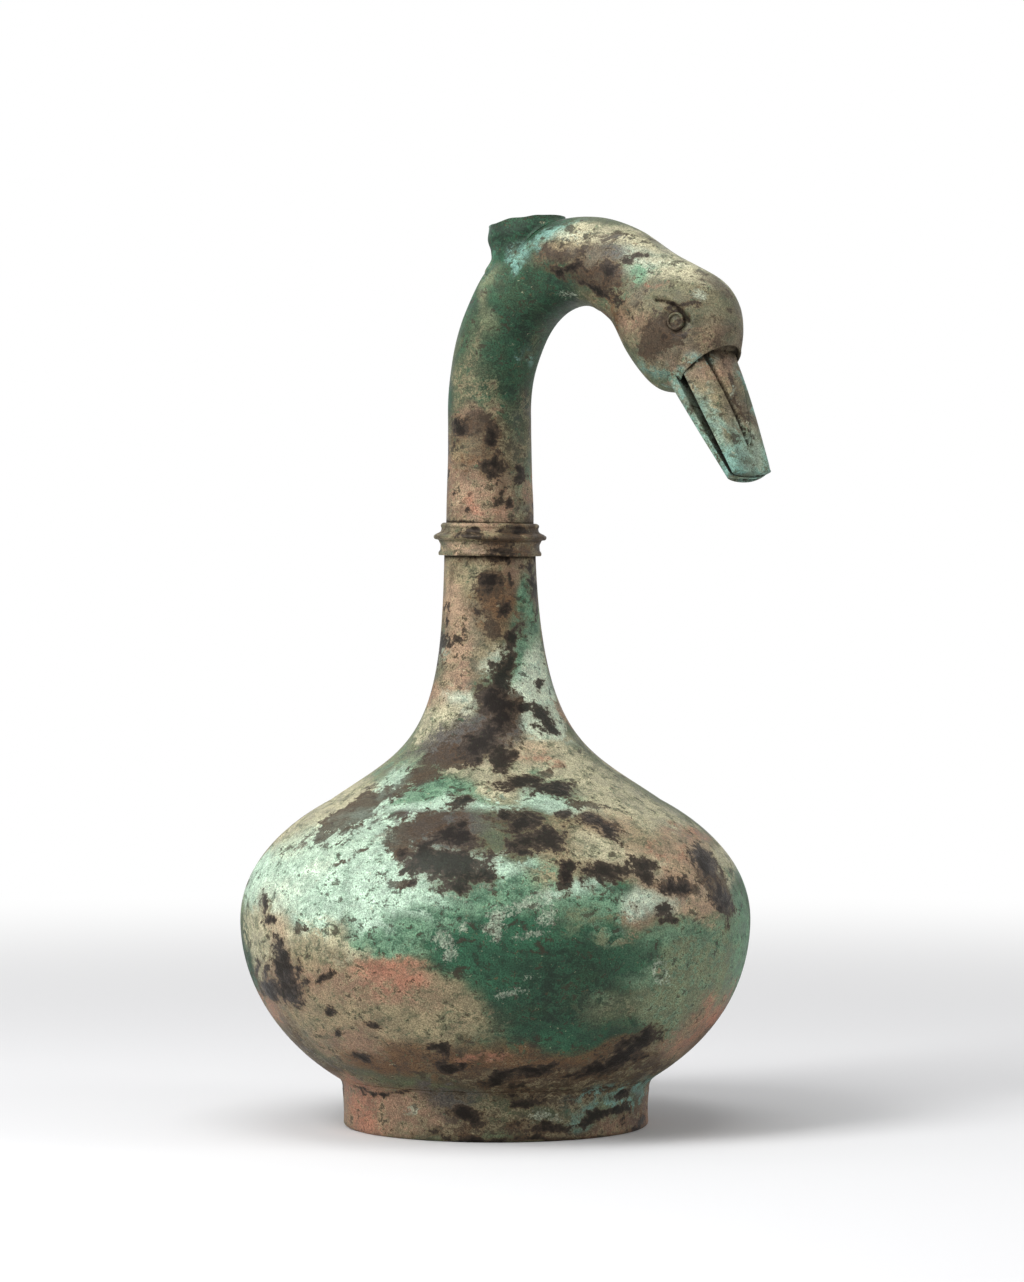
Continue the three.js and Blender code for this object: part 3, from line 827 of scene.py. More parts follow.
# %% Eyes
def eye_frame(side):
    stand, half_width, half_depth = head_section(eye_share)
    out = half_width * math.sqrt(1 - (eye_above / half_depth) ** 2)
    facing = Vector((0, side * out / half_width**2, 0)) + stand.upward * eye_above / half_depth**2
    facing += stand.forward * 0.12 / half_width
    centre = stand.at(side * out, eye_above) - facing.normalized() * 0.4 * MM
    return Matrix.Translation(centre) @ facing.to_track_quat("Z", "Y").to_matrix().to_4x4()


eye_corners = [
    (0, -2.6),
    (3.2, -2.6),
    (3.5, 0),
    (3.45, 0.4),
    (3.15, 0.9),
    (2.75, 0.95),
    (2.45, 0.5),
    (2.3, 0.05),
    (1.5, 0.2),
    (0, 0.45),
]
for name, node, side in (("eye_ring_left", "eye_left", 1), ("eye_ring_right", "eye_right", -1)):
    stud = turned([(radius * MM, height * MM) for radius, height in eye_corners], 64)
    bmesh.ops.transform(stud, matrix=eye_frame(side), verts=stud.verts)
    keep(name, stud, "eye_bronze", node)

# %% [markdown]
# ## Crusts
# A bronze that has lain in the ground has two kinds of pattern. Broad zones of colour change
# slowly from mint to emerald to sand, and small bare patches, where the crust never grew or
# fell away, have ragged but sharp edges. Both are painted as attributes on the vertices:
# the zones as a colour, the patches as a signed distance that the shader later roughens.
# A patch is named by its place in the photograph and thrown on to the jar from the camera.
# The sides that the photograph doesn't show get the same patches from other directions,
# moved and turned at random but with a fixed seed.

# %% Palette of the crusts, and the colour that each is veined with
palette = {
    "mint": (182, 206, 184),
    "pale": (198, 208, 184),
    "jade": (104, 138, 110),
    "sage": (150, 178, 154),
    "emerald": (46, 88, 64),
    "pine": (46, 66, 46),
    "deep": (30, 50, 36),
    "sand": (146, 134, 104),
    "cream": (180, 174, 144),
    "peach": (170, 144, 118),
    "rose": (140, 113, 92),
    "terracotta": (158, 114, 92),
    "oxide": (150, 96, 76),
    "rust": (100, 74, 50),
    "umber": (70, 56, 42),
    "olive": (84, 92, 68),
    "moss": (112, 118, 90),
    "taupe": (110, 102, 84),
    "steel": (80, 76, 72),
    "turquoise": (116, 156, 144),
}
veins = {
    "mint": "sage",
    "pale": "mint",
    "jade": "emerald",
    "emerald": "deep",
    "pine": "emerald",
    "deep": "emerald",
    "sand": "olive",
    "cream": "moss",
    "peach": "sand",
    "rose": "sand",
    "terracotta": "sand",
    "rust": "umber",
    "umber": "sand",
    "olive": "sand",
    "moss": "jade",
    "taupe": "umber",
    "steel": "umber",
    "turquoise": "olive",
}


def linear(colour):
    values = [c / 255 for c in colour]
    return [v / 12.92 if v <= 0.04045 else ((v + 0.055) / 1.055) ** 2.4 for v in values]


# %% Zones of colour: x, y, half width and half height in photograph pixels, and any tilt
zones = {
    "mint": [
        (300, 858, 38, 26, -40), (352, 828, 42, 12, -32), (405, 855, 30, 20), (352, 885, 56, 24),
        (330, 905, 40, 14), (258, 868, 14, 24), (380, 788, 32, 6, -36), (455, 802, 34, 5, -5),
        (552, 800, 26, 6, 8), (500, 868, 26, 9), (430, 905, 26, 9), (585, 890, 22, 8),
    ],
    "pale": [
        (275, 890, 22, 14), (532, 690, 14, 26), (548, 724, 16, 10, 30), (656, 905, 22, 9),
        # The row at 652, 258 is a painted highlight on the crown of the head.
        (652, 258, 24, 7, 16), (500, 655, 14, 10), (452, 700, 12, 10), (318, 868, 18, 9, -40),
    ],
    "jade": [
        (470, 905, 40, 14), (400, 922, 30, 14), (530, 880, 34, 14), (690, 936, 44, 9),
        (742, 950, 9, 40), (600, 900, 30, 10), (534, 600, 5, 30), (440, 792, 26, 7, -10),
        (560, 790, 20, 8), (527, 480, 5, 40), (515, 660, 10, 20, 20), (640, 975, 20, 12),
        (610, 285, 12, 8), (648, 268, 10, 6), (392, 925, 30, 10), (428, 930, 14, 14),
        (375, 938, 30, 9),
    ],
    "emerald": [
        (520, 938, 60, 18), (468, 958, 26, 20), (600, 935, 50, 12), (508, 985, 22, 24),
        (448, 955, 14, 12, 20), (630, 960, 30, 14), (560, 1040, 60, 14), (438, 605, 6, 34),
        (620, 890, 16, 6), (492, 262, 8, 10), (492, 300, 12, 14), (515, 350, 8, 12),
        (496, 404, 10, 8),
    ],
    "pine": [
        (555, 272, 30, 9), (506, 375, 20, 30), (503, 300, 18, 22), (504, 420, 20, 14),
        (488, 350, 14, 20), (466, 335, 8, 26, 8), (530, 250, 12, 8), (520, 1012, 30, 7),
        (585, 972, 22, 7),
    ],
    "deep": [
        (530, 1000, 44, 26), (590, 990, 44, 34), (560, 965, 46, 14), (610, 1035, 40, 16, -10),
        (545, 300, 26, 16, -30), (524, 330, 16, 22), (530, 222, 26, 9), (512, 400, 16, 16),
        (498, 235, 18, 14), (540, 1025, 40, 12), (600, 940, 34, 10),
    ],
    "moss": [
        (690, 985, 44, 34), (722, 970, 22, 34), (690, 928, 44, 8), (655, 1010, 24, 22),
        (480, 318, 10, 14), (490, 284, 12, 12), (395, 766, 30, 9, -36), (600, 1110, 30, 10),
        (600, 920, 30, 6), (600, 1004, 18, 9), (640, 992, 12, 18),
    ],
    "sand": [
        (315, 950, 26, 20), (420, 1028, 44, 16), (320, 1012, 34, 24), (470, 572, 22, 14),
        (486, 640, 18, 20), (640, 832, 40, 12, 20), (565, 850, 20, 20), (690, 300, 24, 12, 30),
        (570, 245, 20, 7), (455, 1002, 34, 18, 30), (500, 530, 40, 5), (468, 450, 18, 10),
        (640, 305, 18, 8), (730, 420, 12, 28, -18), (722, 392, 15, 20, -20),
    ],
    "cream": [
        (262, 930, 16, 28), (600, 795, 44, 12, 30), (660, 818, 40, 10, 34),
        (724, 860, 10, 20, 30), (335, 946, 30, 9), (540, 764, 44, 14), (600, 848, 34, 12),
        (440, 715, 18, 12, -40), (300, 925, 24, 12), (640, 866, 20, 8), (750, 447, 13, 18, -16),
        # The rows at 664, 257 and 692, 276 are partly cream crust and partly a painted highlight on
        # the crown of the head.
        (590, 232, 30, 7, 4), (664, 257, 24, 8, 20), (692, 276, 20, 6, 32),
    ],
    "peach": [
        (530, 757, 26, 10), (668, 852, 34, 18), (466, 505, 9, 14), (275, 925, 12, 18),
        (700, 905, 22, 10), (620, 822, 20, 8), (690, 880, 16, 16), (470, 545, 26, 6),
        (455, 632, 10, 40),
    ],
    "rose": [
        (305, 990, 34, 24), (345, 1035, 34, 18), (488, 500, 26, 18), (515, 575, 12, 16),
        (462, 650, 8, 36), (402, 1112, 26, 14), (718, 330, 18, 12), (636, 322, 14, 16),
        (672, 362, 20, 10), (640, 920, 20, 7), (352, 986, 26, 14), (625, 1128, 24, 8),
        (437, 700, 12, 12), (425, 1000, 34, 18, 20), (690, 1038, 26, 12, -40),
        (470, 420, 12, 10), (725, 372, 14, 12),
    ],
    "terracotta": [
        (392, 978, 30, 16, 10), (362, 1108, 18, 20), (716, 1012, 10, 16, 40), (672, 838, 10, 6),
        (690, 836, 10, 6), (410, 992, 16, 11, 20),
    ],
    "rust": [
        (500, 598, 14, 24), (450, 1056, 60, 10), (545, 1062, 60, 8), (470, 455, 20, 16),
        (655, 330, 14, 14), (610, 300, 18, 12, 40), (380, 1062, 40, 9, 10), (515, 545, 26, 8),
        (708, 1030, 14, 10, -45), (560, 250, 26, 7),
    ],
    "umber": [
        # The umber rows at y 1076 to 1132, low on the belly and on the foot, are partly brown crust
        # and partly painted shade that darkens the jar towards the bottom.
        (560, 1088, 90, 8), (500, 1120, 60, 14), (572, 262, 24, 6), (652, 348, 14, 18),
        (612, 272, 9, 16, -20), (490, 440, 24, 22), (700, 346, 24, 11), (738, 398, 5, 26, -20),
        (640, 1118, 16, 16), (515, 440, 10, 16), (530, 1076, 90, 8), (520, 482, 8, 30),
        (540, 1132, 80, 5), (500, 536, 50, 4), (455, 570, 4, 20), (655, 1068, 14, 12),
    ],
    "olive": [
        (520, 445, 12, 22), (468, 365, 10, 34), (480, 320, 10, 30), (600, 288, 22, 10),
        # The olive rows at y 1112 are partly crust and partly painted shade that darkens the jar
        # towards the bottom.
        (685, 315, 28, 16), (726, 318, 10, 18), (620, 1012, 34, 16), (545, 1112, 26, 10),
        (660, 385, 20, 7, 30), (500, 1112, 40, 9), (670, 290, 18, 8),
    ],
    "taupe": [
        (700, 315, 30, 20), (640, 296, 22, 14), (672, 345, 26, 14), (732, 330, 8, 24),
        (712, 380, 10, 12, -20), (742, 425, 8, 18, -20), (600, 262, 22, 8, 10),
        (715, 285, 16, 10, 30), (572, 250, 26, 8), (482, 640, 12, 22),
    ],
    "steel": [
        (452, 740, 34, 14), (456, 1108, 26, 12), (622, 250, 18, 6, 10), (500, 720, 16, 16),
        (430, 830, 34, 14, -10),
    ],
    "turquoise": [
        (745, 452, 14, 16, -16), (612, 1096, 34, 9), (578, 1116, 16, 7), (656, 379, 16, 4, 32),
        (692, 367, 11, 9), (700, 431, 8, 50, -30), (712, 415, 7, 34, -30),
        (763, 440, 5, 34, -16), (722, 425, 6, 20, -32), (718, 462, 12, 14), (530, 350, 5, 7),
        # The rows at 546, 237 and 520, 254 are partly turquoise crust and partly a painted
        # highlight along the fillet where the neck meets the mouth.
        (640, 1092, 12, 8), (546, 237, 22, 6, -30), (520, 254, 12, 6, -45), (728, 476, 14, 5),
        (480, 262, 5, 14, 20),
    ],
}

# %% Bare patches, in rows of the same kind
bare_patches = [
    (513, 640, 8, 14, 15), (505, 662, 8, 18, 25), (497, 682, 10, 12, 20), (493, 700, 16, 16),
    (503, 716, 10, 12), (492, 738, 18, 14), (480, 752, 22, 10), (505, 762, 12, 12, 20),
    (522, 784, 22, 5, 10), (541, 717, 10, 8, 10), (550, 729, 8, 5, 30), (524, 708, 12, 4),
    (558, 787, 14, 3), (569, 813, 7, 4), (592, 817, 9, 5, 15), (608, 827, 14, 6, 25),
    (514, 815, 15, 5, 12), (532, 822, 20, 9, 5), (552, 838, 20, 10, 12), (525, 838, 12, 5, 20),
    (522, 853, 12, 4, 10), (508, 845, 8, 6), (464, 803, 11, 5, -10), (464, 828, 9, 13, -15),
    (462, 843, 16, 7), (428, 860, 19, 13, 15), (452, 868, 20, 15), (478, 880, 13, 8, 15),
    (460, 892, 11, 8), (482, 858, 8, 5, 30), (437, 838, 12, 4, -20), (447, 834, 14, 7, -15),
    (428, 842, 8, 7), (408, 850, 6, 4), (402, 868, 4, 3), (418, 884, 5, 3), (609, 874, 19, 8, 5),
    (645, 873, 14, 8, 35), (563, 879, 6, 12, 10), (572, 866, 8, 5, -10), (680, 887, 12, 6, 10),
    (640, 914, 4, 4), (665, 909, 7, 8), (671, 924, 5, 4), (596, 893, 4, 3), (586, 886, 5, 4),
    (722, 900, 22, 9, 65), (702, 860, 18, 10, 50), (628, 1055, 32, 14, -30),
    (645, 1040, 10, 10, -50), (600, 1072, 24, 6, -8), (262, 905, 4, 8), (270, 918, 5, 6, 30),
    (278, 950, 8, 12), (284, 970, 9, 24, -10), (292, 990, 9, 14), (270, 990, 11, 12, 20),
    (297, 962, 4, 12), (266, 975, 4, 10), (257, 965, 3, 12, 10), (322, 981, 5, 4),
    (304, 978, 5, 5), (328, 1008, 5, 4), (338, 1031, 4, 5), (363, 1054, 8, 5, 15),
    (379, 1024, 9, 3), (440, 1047, 12, 6), (443, 1064, 16, 5), (503, 1080, 16, 9, -10),
    (530, 1072, 24, 6, -5), (515, 1090, 8, 5), (494, 466, 9, 7), (500, 490, 4, 9, 20),
    (489, 443, 7, 10), (520, 466, 4, 10), (456, 425, 7, 10), (445, 470, 2.5, 20),
    (489, 590, 8, 8), (498, 593, 5, 4), (479, 613, 10, 3), (505, 613, 7, 4), (513, 582, 3, 12),
    (490, 558, 6, 4), (452, 560, 8, 3), (534, 590, 2.5, 26), (440, 645, 2.5, 18, 10),
    (448, 620, 2, 9, 10), (541, 688, 4, 5, 20), (491, 664, 3, 4), (512, 525, 13, 2.5),
    (470, 527, 10, 2), (500, 548, 12, 3), (531, 552, 10, 3), (612, 270, 7, 12, -20),
    (640, 256, 12, 4, 10), (572, 262, 16, 4), (590, 285, 8, 5, 30), (520, 1102, 20, 4),
    (470, 1118, 12, 5), (604, 1118, 22, 4), (640, 1124, 10, 6), (545, 1124, 26, 4),
    # The rows at 662, 305, 680, 310, 677, 322 and 677, 335 paint dark strokes as shade in the brow
    # groove, the sunk pupil and the crease under the eye.
    (500, 1138, 60, 2), (622, 1100, 8, 4), (662, 305, 7, 1.8, 20), (680, 310, 9, 2, 15),
    (677, 322, 3, 3.4), (677, 335, 8, 2, -5), (380, 1091, 20, 2, 3), (508, 500, 4, 4),
    (470, 507, 3, 4),
]

# %% Thin brown films, pale crusts and red spots, which lie over the zones
brown_films = [
    (336, 822, 22, 12, -34), (362, 806, 30, 14, -28), (388, 794, 16, 9, -20), (318, 842, 8, 8),
    (420, 818, 30, 9, -12), (402, 836, 18, 7, -20), (452, 757, 32, 12, -15),
    (425, 775, 22, 7, -28), (405, 792, 16, 6, -20), (600, 820, 26, 5, 18),
    (716, 885, 36, 12, 62), (685, 888, 22, 8, 10), (562, 880, 7, 14, 10), (412, 825, 30, 12, -8),
    (404, 846, 12, 9), (420, 815, 24, 6, -10), (303, 926, 6, 6), (300, 848, 10, 4, -50),
    (340, 862, 12, 3, -20), (360, 850, 10, 3, -10), (490, 590, 16, 14), (490, 625, 9, 11),
    (492, 558, 14, 7), (512, 705, 12, 16), (580, 800, 22, 4, 12), (548, 775, 8, 6),
    (470, 425, 14, 12), (600, 275, 26, 14, 20), (560, 250, 20, 6), (656, 342, 20, 22, 20),
    (540, 540, 8, 12), (500, 540, 24, 6), (400, 880, 18, 4, 10), (735, 392, 3, 40, -22),
]
pale_crusts = [
    (459, 929, 9, 5, -30), (466, 932, 3, 9), (440, 940, 12, 8, 20), (450, 952, 9, 8),
    (453, 904, 12, 3, 10), (500, 910, 12, 9, -20), (522, 903, 18, 6, -8), (498, 926, 9, 10),
    (545, 916, 7, 12), (530, 934, 12, 4), (544, 897, 9, 8), (480, 885, 9, 4, 20),
    (297, 852, 10, 5, -50), (304, 838, 8, 6), (660, 967, 10, 3), (652, 976, 3, 9),
    (669, 976, 3, 9), (661, 986, 10, 3), (572, 232, 14, 6), (547, 722, 10, 9, 20),
    (735, 391, 3.4, 3.4), (694, 297, 7, 5), (735, 915, 4, 5), (670, 900, 14, 4),
    (566, 294, 8, 4), (507, 990, 12, 5), (408, 1118, 7, 5), (545, 1114, 12, 6),
    (380, 835, 10, 4, -20), (524, 975, 8, 3),
]
red_spots = [
    (652, 848, 6, 8, 20), (664, 862, 7, 5, 30), (679, 858, 6, 5), (678, 844, 8, 4),
    (390, 965, 26, 12), (408, 985, 16, 10, 20), (540, 755, 16, 6), (510, 760, 8, 5),
    (560, 765, 10, 5), (660, 977, 4, 3), (715, 1018, 14, 8, -50), (480, 1056, 30, 4),
    (476, 505, 8, 10), (690, 1038, 18, 6, -40), (362, 1110, 12, 12), (655, 285, 10, 3, -10),
]

# %% Throw the patches on to the castings
class Patch:
    """A patch on the surface: its centre, its normal, and its ellipse as the eye sees it."""

    def __init__(self, eye, centre, normal, row):
        self.eye, self.centre, self.normal = eye, centre, normal
        _, _, self.wide, self.tall, tilt = row
        self.turn = math.radians(tilt)


pixel = camera_reach / focal_pixels
trees = [tree_of(piece) for piece in pieces.values()]


def cast(eye, x, y):
    best = None
    for tree in trees:
        hit, normal, _, length = tree.ray_cast(eye.place, eye.ray(x, y))
        if hit and (best is None or length < best[2]):
            best = hit, normal, length
    return best


dice = random.Random(7)
other_eyes = [Eye(view_azimuth + math.radians(angle)) for angle in (100, 180, 250)]
mirror_eye = Eye(math.pi - view_azimuth, -camera_aside)
spread, most_turn = 22, 20


def throw(rows):
    """The rows from the photograph's side, and moved copies of them for the other sides."""
    rows = [(*row, 0)[:5] for row in rows]
    patches = []
    for row in rows:
        found = cast(front, *row[:2])
        if found:
            patches.append(Patch(front, *found[:2], row))
    for eye in (*other_eyes, mirror_eye):
        mirrored = eye is mirror_eye
        for x, y, wide, tall, tilt in rows:
            aside, below = dice.uniform(-spread, spread), dice.uniform(-spread, spread)
            turn = dice.uniform(-most_turn, most_turn)
            if mirrored:
                x, tilt = photo_wide - x, -tilt
            else:
                x, y, tilt = x + aside, y + below, tilt + turn
            found = cast(eye, x, y)
            hidden = found and found[1].dot(front.ahead) > -0.02
            if hidden and (not mirrored or found[0].z > neck_low.z):
                grown = dice.uniform(0.7, 1.3)
                patches.append(Patch(eye, *found[:2], (x, y, wide * grown, tall * grown, tilt)))
    return patches


zone_patches = {name: throw(rows) for name, rows in zones.items()}
upper_patches = {
    "bare": throw(bare_patches),
    "brown": throw(brown_films),
    "pale": throw(pale_crusts),
    "red": throw(red_spots),
}
print("patches over the zones:", {name: len(patches) for name, patches in upper_patches.items()})

# %% Measure every vertex against a patch
depth_reach = 16 * MM
far_outside = -14.0


def ellipse_distance(points, patch):
    """How far each point lies from the patch's centre, in radii of its ellipse."""
    offset = points - np.array(patch.centre)
    normal = np.array(patch.normal)
    depth = offset @ normal
    flat = offset - depth[:, None] * normal
    across = flat @ np.array(patch.eye.right) / pixel
    rise = -(flat @ np.array(patch.eye.up)) / pixel
    cosine, sine = math.cos(patch.turn), math.sin(patch.turn)
    long_way = (across * cosine + rise * sine) / patch.wide
    short_way = (rise * cosine - across * sine) / patch.tall
    return np.sqrt(long_way**2 + short_way**2 + (depth / depth_reach) ** 2)


def signed(points, patches):
    """Pixels inside the nearest patch, negative outside, as one field."""
    field = np.full(len(points), far_outside)
    for patch in patches:
        size = min(patch.wide, patch.tall)
        field = np.maximum(field, (1 - ellipse_distance(points, patch)) * (size * 0.75 + 5))
    return field


# %% Push points about by noise of three sizes, so that no edge follows an ellipse
noise.seed_set(1)  # without a seed, noise_vector differs from run to run


def warped(points, broad, shift=0):
    pushes = ((45, broad), (130, 2.4 * MM), (330, 1.0 * MM))
    moved = np.empty_like(points)
    for k, point in enumerate(points):
        place = Vector(point)
        aside = place + Vector((shift, 0, 0))
        for scale, reach in pushes:
            place += noise.noise_vector(aside * scale) * reach
        moved[k] = place
    return moved


def zone_colours(points, *tints):
    """The zones' colours at the points, once for each naming of the zones' tints."""
    total = np.full((len(points), 1), 0.01)
    colours = [total * np.array(linear(palette["olive"])) for _ in tints]
    for name, patches in zone_patches.items():
        weight = np.zeros((len(points), 1))
        for patch in patches:
            weight += np.exp(-1.6 * ellipse_distance(points, patch) ** 2)[:, None]
        total += weight
        for colour, tint in zip(colours, tints):
            colour += weight * np.array(linear(palette[tint[name]]))
    opaque = np.ones((len(points), 1))
    return [np.hstack([colour / total, opaque]) for colour in colours]


# %% Painted shade: darker where short rays from the surface soon meet metal again
whole_jar = bmesh.new()
for piece in pieces.values():
    whole_jar.from_mesh(piece.data)
jar_tree = BVHTree.FromBMesh(whole_jar)
whole_jar.free()
fan = [
    Euler((math.radians(62), 0, math.radians(turn))).to_matrix() @ Vector((0, 0, 1))
    for turn in range(0, 360, 72)
]
mouth_foot_middle = mouth_frame @ Vector((0, 0, -14 * MM))
# No shade is painted near the nape and the mouth's foot, where the castings join smoothly.
smooth_joints = ((nape.centre, 26 * MM), (mouth_foot_middle, 23 * MM))
# Longer rays on the bills paint shade deep into the slit between them.
bill_reach, plain_reach = 9 * MM, 4 * MM


def crease_shade(vert, reach):
    """The share of a fan of short rays that is stopped, nearer stops counting for more."""
    if any((vert.co - centre).length < radius for centre, radius in smooth_joints):
        return 0
    facing = vert.normal.to_track_quat("Z", "Y").to_matrix()
    start = vert.co + vert.normal * 0.15 * MM
    stopped = 0
    for ray in fan:
        _, _, _, length = jar_tree.ray_cast(start, facing @ ray, reach)
        stopped += 1 - length / reach if length is not None else 0
    return stopped / len(fan)


# %% Paint the zones, the patches and the painted shade in the creases on to each casting
def write_layer(mesh, name, kind, key, values):
    mesh.attributes.new(name, kind, "POINT").data.foreach_set(key, values)


def paint(piece):
    mesh = piece.data
    points = np.empty(len(mesh.vertices) * 3)
    mesh.vertices.foreach_get("co", points)
    points = points.reshape(-1, 3)
    near = warped(points, 5 * MM)
    far = warped(points, 13 * MM, shift=3)
    own = {name: name for name in zones}
    colours = zone_colours(near, own) + zone_colours(far, own, veins)
    for name, colour in zip(("ground", "drifted", "vein"), colours):
        write_layer(mesh, name, "FLOAT_COLOR", "color", colour.ravel())
    for name, patches in upper_patches.items():
        write_layer(mesh, name, "FLOAT", "value", signed(near, patches))
    reach = bill_reach if "bill" in piece.name else plain_reach
    crease_shades = [crease_shade(vert, reach) for vert in mesh.vertices]
    write_layer(mesh, "crease_shade", "FLOAT", "value", crease_shades)


for piece in pieces.values():
    paint(piece)
print("painted", len(pieces), "castings")

# %% [markdown]
# ## Shader arithmetic
# Long node trees are easier to read as sums. A small class wraps a socket, so that an
# expression such as mask * 0.5 + haze adds the Math nodes by itself.

# %% A socket that can stand in an expression
class Value:
    """A node's output that stands on the left of a sum like a number."""

    def __init__(self, tree, socket):
        self.tree, self.socket = tree, socket

    def combine(self, operation, other, clamp=False):
        node = self.tree.nodes.new("ShaderNodeMath")
        node.operation = operation
        node.use_clamp = clamp
        self.tree.links.new(self.socket, node.inputs[0])
        if isinstance(other, Value):
            self.tree.links.new(other.socket, node.inputs[1])
        else:
            node.inputs[1].default_value = other
        return Value(self.tree, node.outputs[0])

    def __add__(self, other):
        return self.combine("ADD", other)

    def __sub__(self, other):
        return self.combine("SUBTRACT", other)

    def __mul__(self, other):
        return self.combine("MULTIPLY", other)

    def larger(self, other):
        return self.combine("MAXIMUM", other)

    def limited(self):
        return self.combine("ADD", 0.0, clamp=True)


# %% A material whose nodes are added by one method
class Finish:
    """A material under construction."""

    def __init__(self, name):
        self.material = bpy.data.materials.new(name)
        self.material.use_nodes = True
        self.tree = self.material.node_tree
        self.shader = self.tree.nodes["Principled BSDF"]

    def node(self, kind, settings=None, sockets=None, output=0):
        made = self.tree.nodes.new(kind)
        for name, value in (settings or {}).items():
            setattr(made, name, value)
        for name, value in (sockets or {}).items():
            self.feed(made.inputs[name], value)
        return Value(self.tree, made.outputs[output])

    def feed(self, socket, value):
        if isinstance(value, Value):
            self.tree.links.new(value.socket, socket)
        else:
            socket.default_value = value

    def attribute(self, name, output="Fac"):
        return self.node("ShaderNodeAttribute", {"attribute_name": name}, output=output)

    def clouds(self, place, scale, detail, roughness, distortion=0.0):
        sockets = {
            "Vector": place,
            "Scale": scale,
            "Detail": detail,
            "Roughness": roughness,
            "Distortion": distortion,
        }
        return self.node("ShaderNodeTexNoise", None, sockets)

    def step(self, value, low, high, start=0.0, end=1.0):
        settings = {"interpolation_type": "SMOOTHSTEP"}
        sockets = {"From Min": low, "From Max": high, "To Min": start, "To Max": end}
        return self.node("ShaderNodeMapRange", settings, {"Value": value, **sockets})

    def mix(self, factor, first, second, kind="MIX"):
        settings = {"data_type": "RGBA", "blend_type": kind}
        return self.node("ShaderNodeMix", settings, {0: factor, 6: first, 7: second}, output=2)


def shade(name, darken=1.0):
    return tuple(c * darken for c in linear(palette[name])) + (1.0,)


# %% [markdown]
# ## Patina
# One recipe serves every casting, and its noises come in five sizes, from drifts as broad as
# a thumb to dust. The painted ground is broken up first, by veins of its companion colour and
# by flecks of green, cream and rust.

# %% Noise from broad drifts to dust
class Grit:
    """The noises of one material. Drifts and ragged shapes are drawn out sideways."""

    def __init__(self, f):
        self.place = f.node("ShaderNodeTexCoord", output="Object")
        stretch = {0: self.place, 1: (1, 1, 1.45)}
        self.laid = f.node("ShaderNodeVectorMath", {"operation": "MULTIPLY"}, stretch)
        self.drift = f.clouds(self.laid, 105.0, 6.0, 0.66, 0.5)
        self.ragged = f.clouds(self.laid, 190.0, 7.0, 0.7, 0.4)
        self.grains = f.clouds(self.place, 430.0, 5.0, 0.68)
        self.fine = f.clouds(self.place, 900.0, 4.0, 0.7)
        self.dust = f.clouds(self.place, 1900.0, 2.0, 0.6)

    def mixed(self, **strengths):
        """The named noises, each about zero and times its strength, as one sum."""
        terms = [(getattr(self, name) - 0.5) * strength for name, strength in strengths.items()]
        return sum(terms[1:], terms[0])


# %% Ground with its veins and flecks
flecks = (("emerald", 260.0, 0.6), ("cream", 340.0, 0.635), ("rust", 300.0, 0.62))


def veined_ground(f, grit):
    patchwork = f.step(f.clouds(grit.laid, 85.0, 8.0, 0.72, 0.5), 0.485, 0.525)
    colour = f.mix(patchwork, f.attribute("ground", "Color"), f.attribute("drifted", "Color"))
    vein = f.step(grit.ragged, 0.5, 0.56) * 0.6 + f.step(grit.fine, 0.5, 0.62) * 0.3
    colour = f.mix(vein.limited(), colour, f.attribute("vein", "Color"))
    for shift, (tint, scale, edge) in enumerate(flecks, 1):
        aside = {0: grit.laid, 1: (shift, 0, 0)}
        apart = f.node("ShaderNodeVectorMath", {"operation": "ADD"}, aside)
        cover = f.step(f.clouds(apart, scale, 6.0, 0.72, 0.3), edge, edge + 0.05)
        colour = f.mix(cover * 0.55, colour, shade(tint))
    return colour


# %% [markdown]
# Over the ground lie the red copper oxide, the brown films and the pale crusts, and over them
# the bare metal. Each is cut out of its painted field by a noisy threshold, which makes its
# edge ragged. The bare metal also shows in small specks that gather in loose clusters, and it
# has a rusty fringe and a nearly black core.

# %% Red oxide, brown films and pale crusts
def crusted(f, grit, colour):
    red_field = f.attribute("red") + grit.mixed(grains=34.0, drift=26.0)
    colour = f.mix(f.step(red_field, -2.0, 4.0) * 0.4, colour, shade("terracotta"))
    spotted = red_field + grit.mixed(fine=50.0)
    colour = f.mix(f.step(spotted, 5.0, 8.0) * 0.4, colour, shade("oxide"))
    brown_field = f.attribute("brown") + grit.mixed(ragged=36.0, fine=16.0)
    brown = f.step(brown_field, -1.0, 2.0) * f.step(grit.drift, 0.25, 0.6, 0.6, 0.95)
    colour = f.mix(brown, colour, shade("umber", 0.85))
    pale_field = f.attribute("pale") + grit.mixed(fine=44.0, ragged=30.0)
    pale = f.step(pale_field, -1.0, 6.0) * f.step(grit.grains, 0.3, 0.6, 0.35, 1.0)
    return f.mix(pale * 0.6, colour, shade("pale", 0.86)), pale


def clouded(f, grit, colour):
    """The colour made lighter and darker by drifts, grains and dust."""
    cloudy = f.step(grit.drift, 0.3, 0.7, 0.68, 1.26) * f.step(grit.dust, 0.25, 0.75, 0.5, 1.5)
    cloudy = cloudy * f.step(grit.grains, 0.3, 0.7, 0.8, 1.18)
    bright = f.node("ShaderNodeCombineColor", None, {0: cloudy, 1: cloudy, 2: cloudy})
    return f.mix(1.0, colour, bright, "MULTIPLY")


# %% Bare metal in patches and specks
black_metal = (0.012, 0.01, 0.009, 1.0)
bare_margin = 1.32


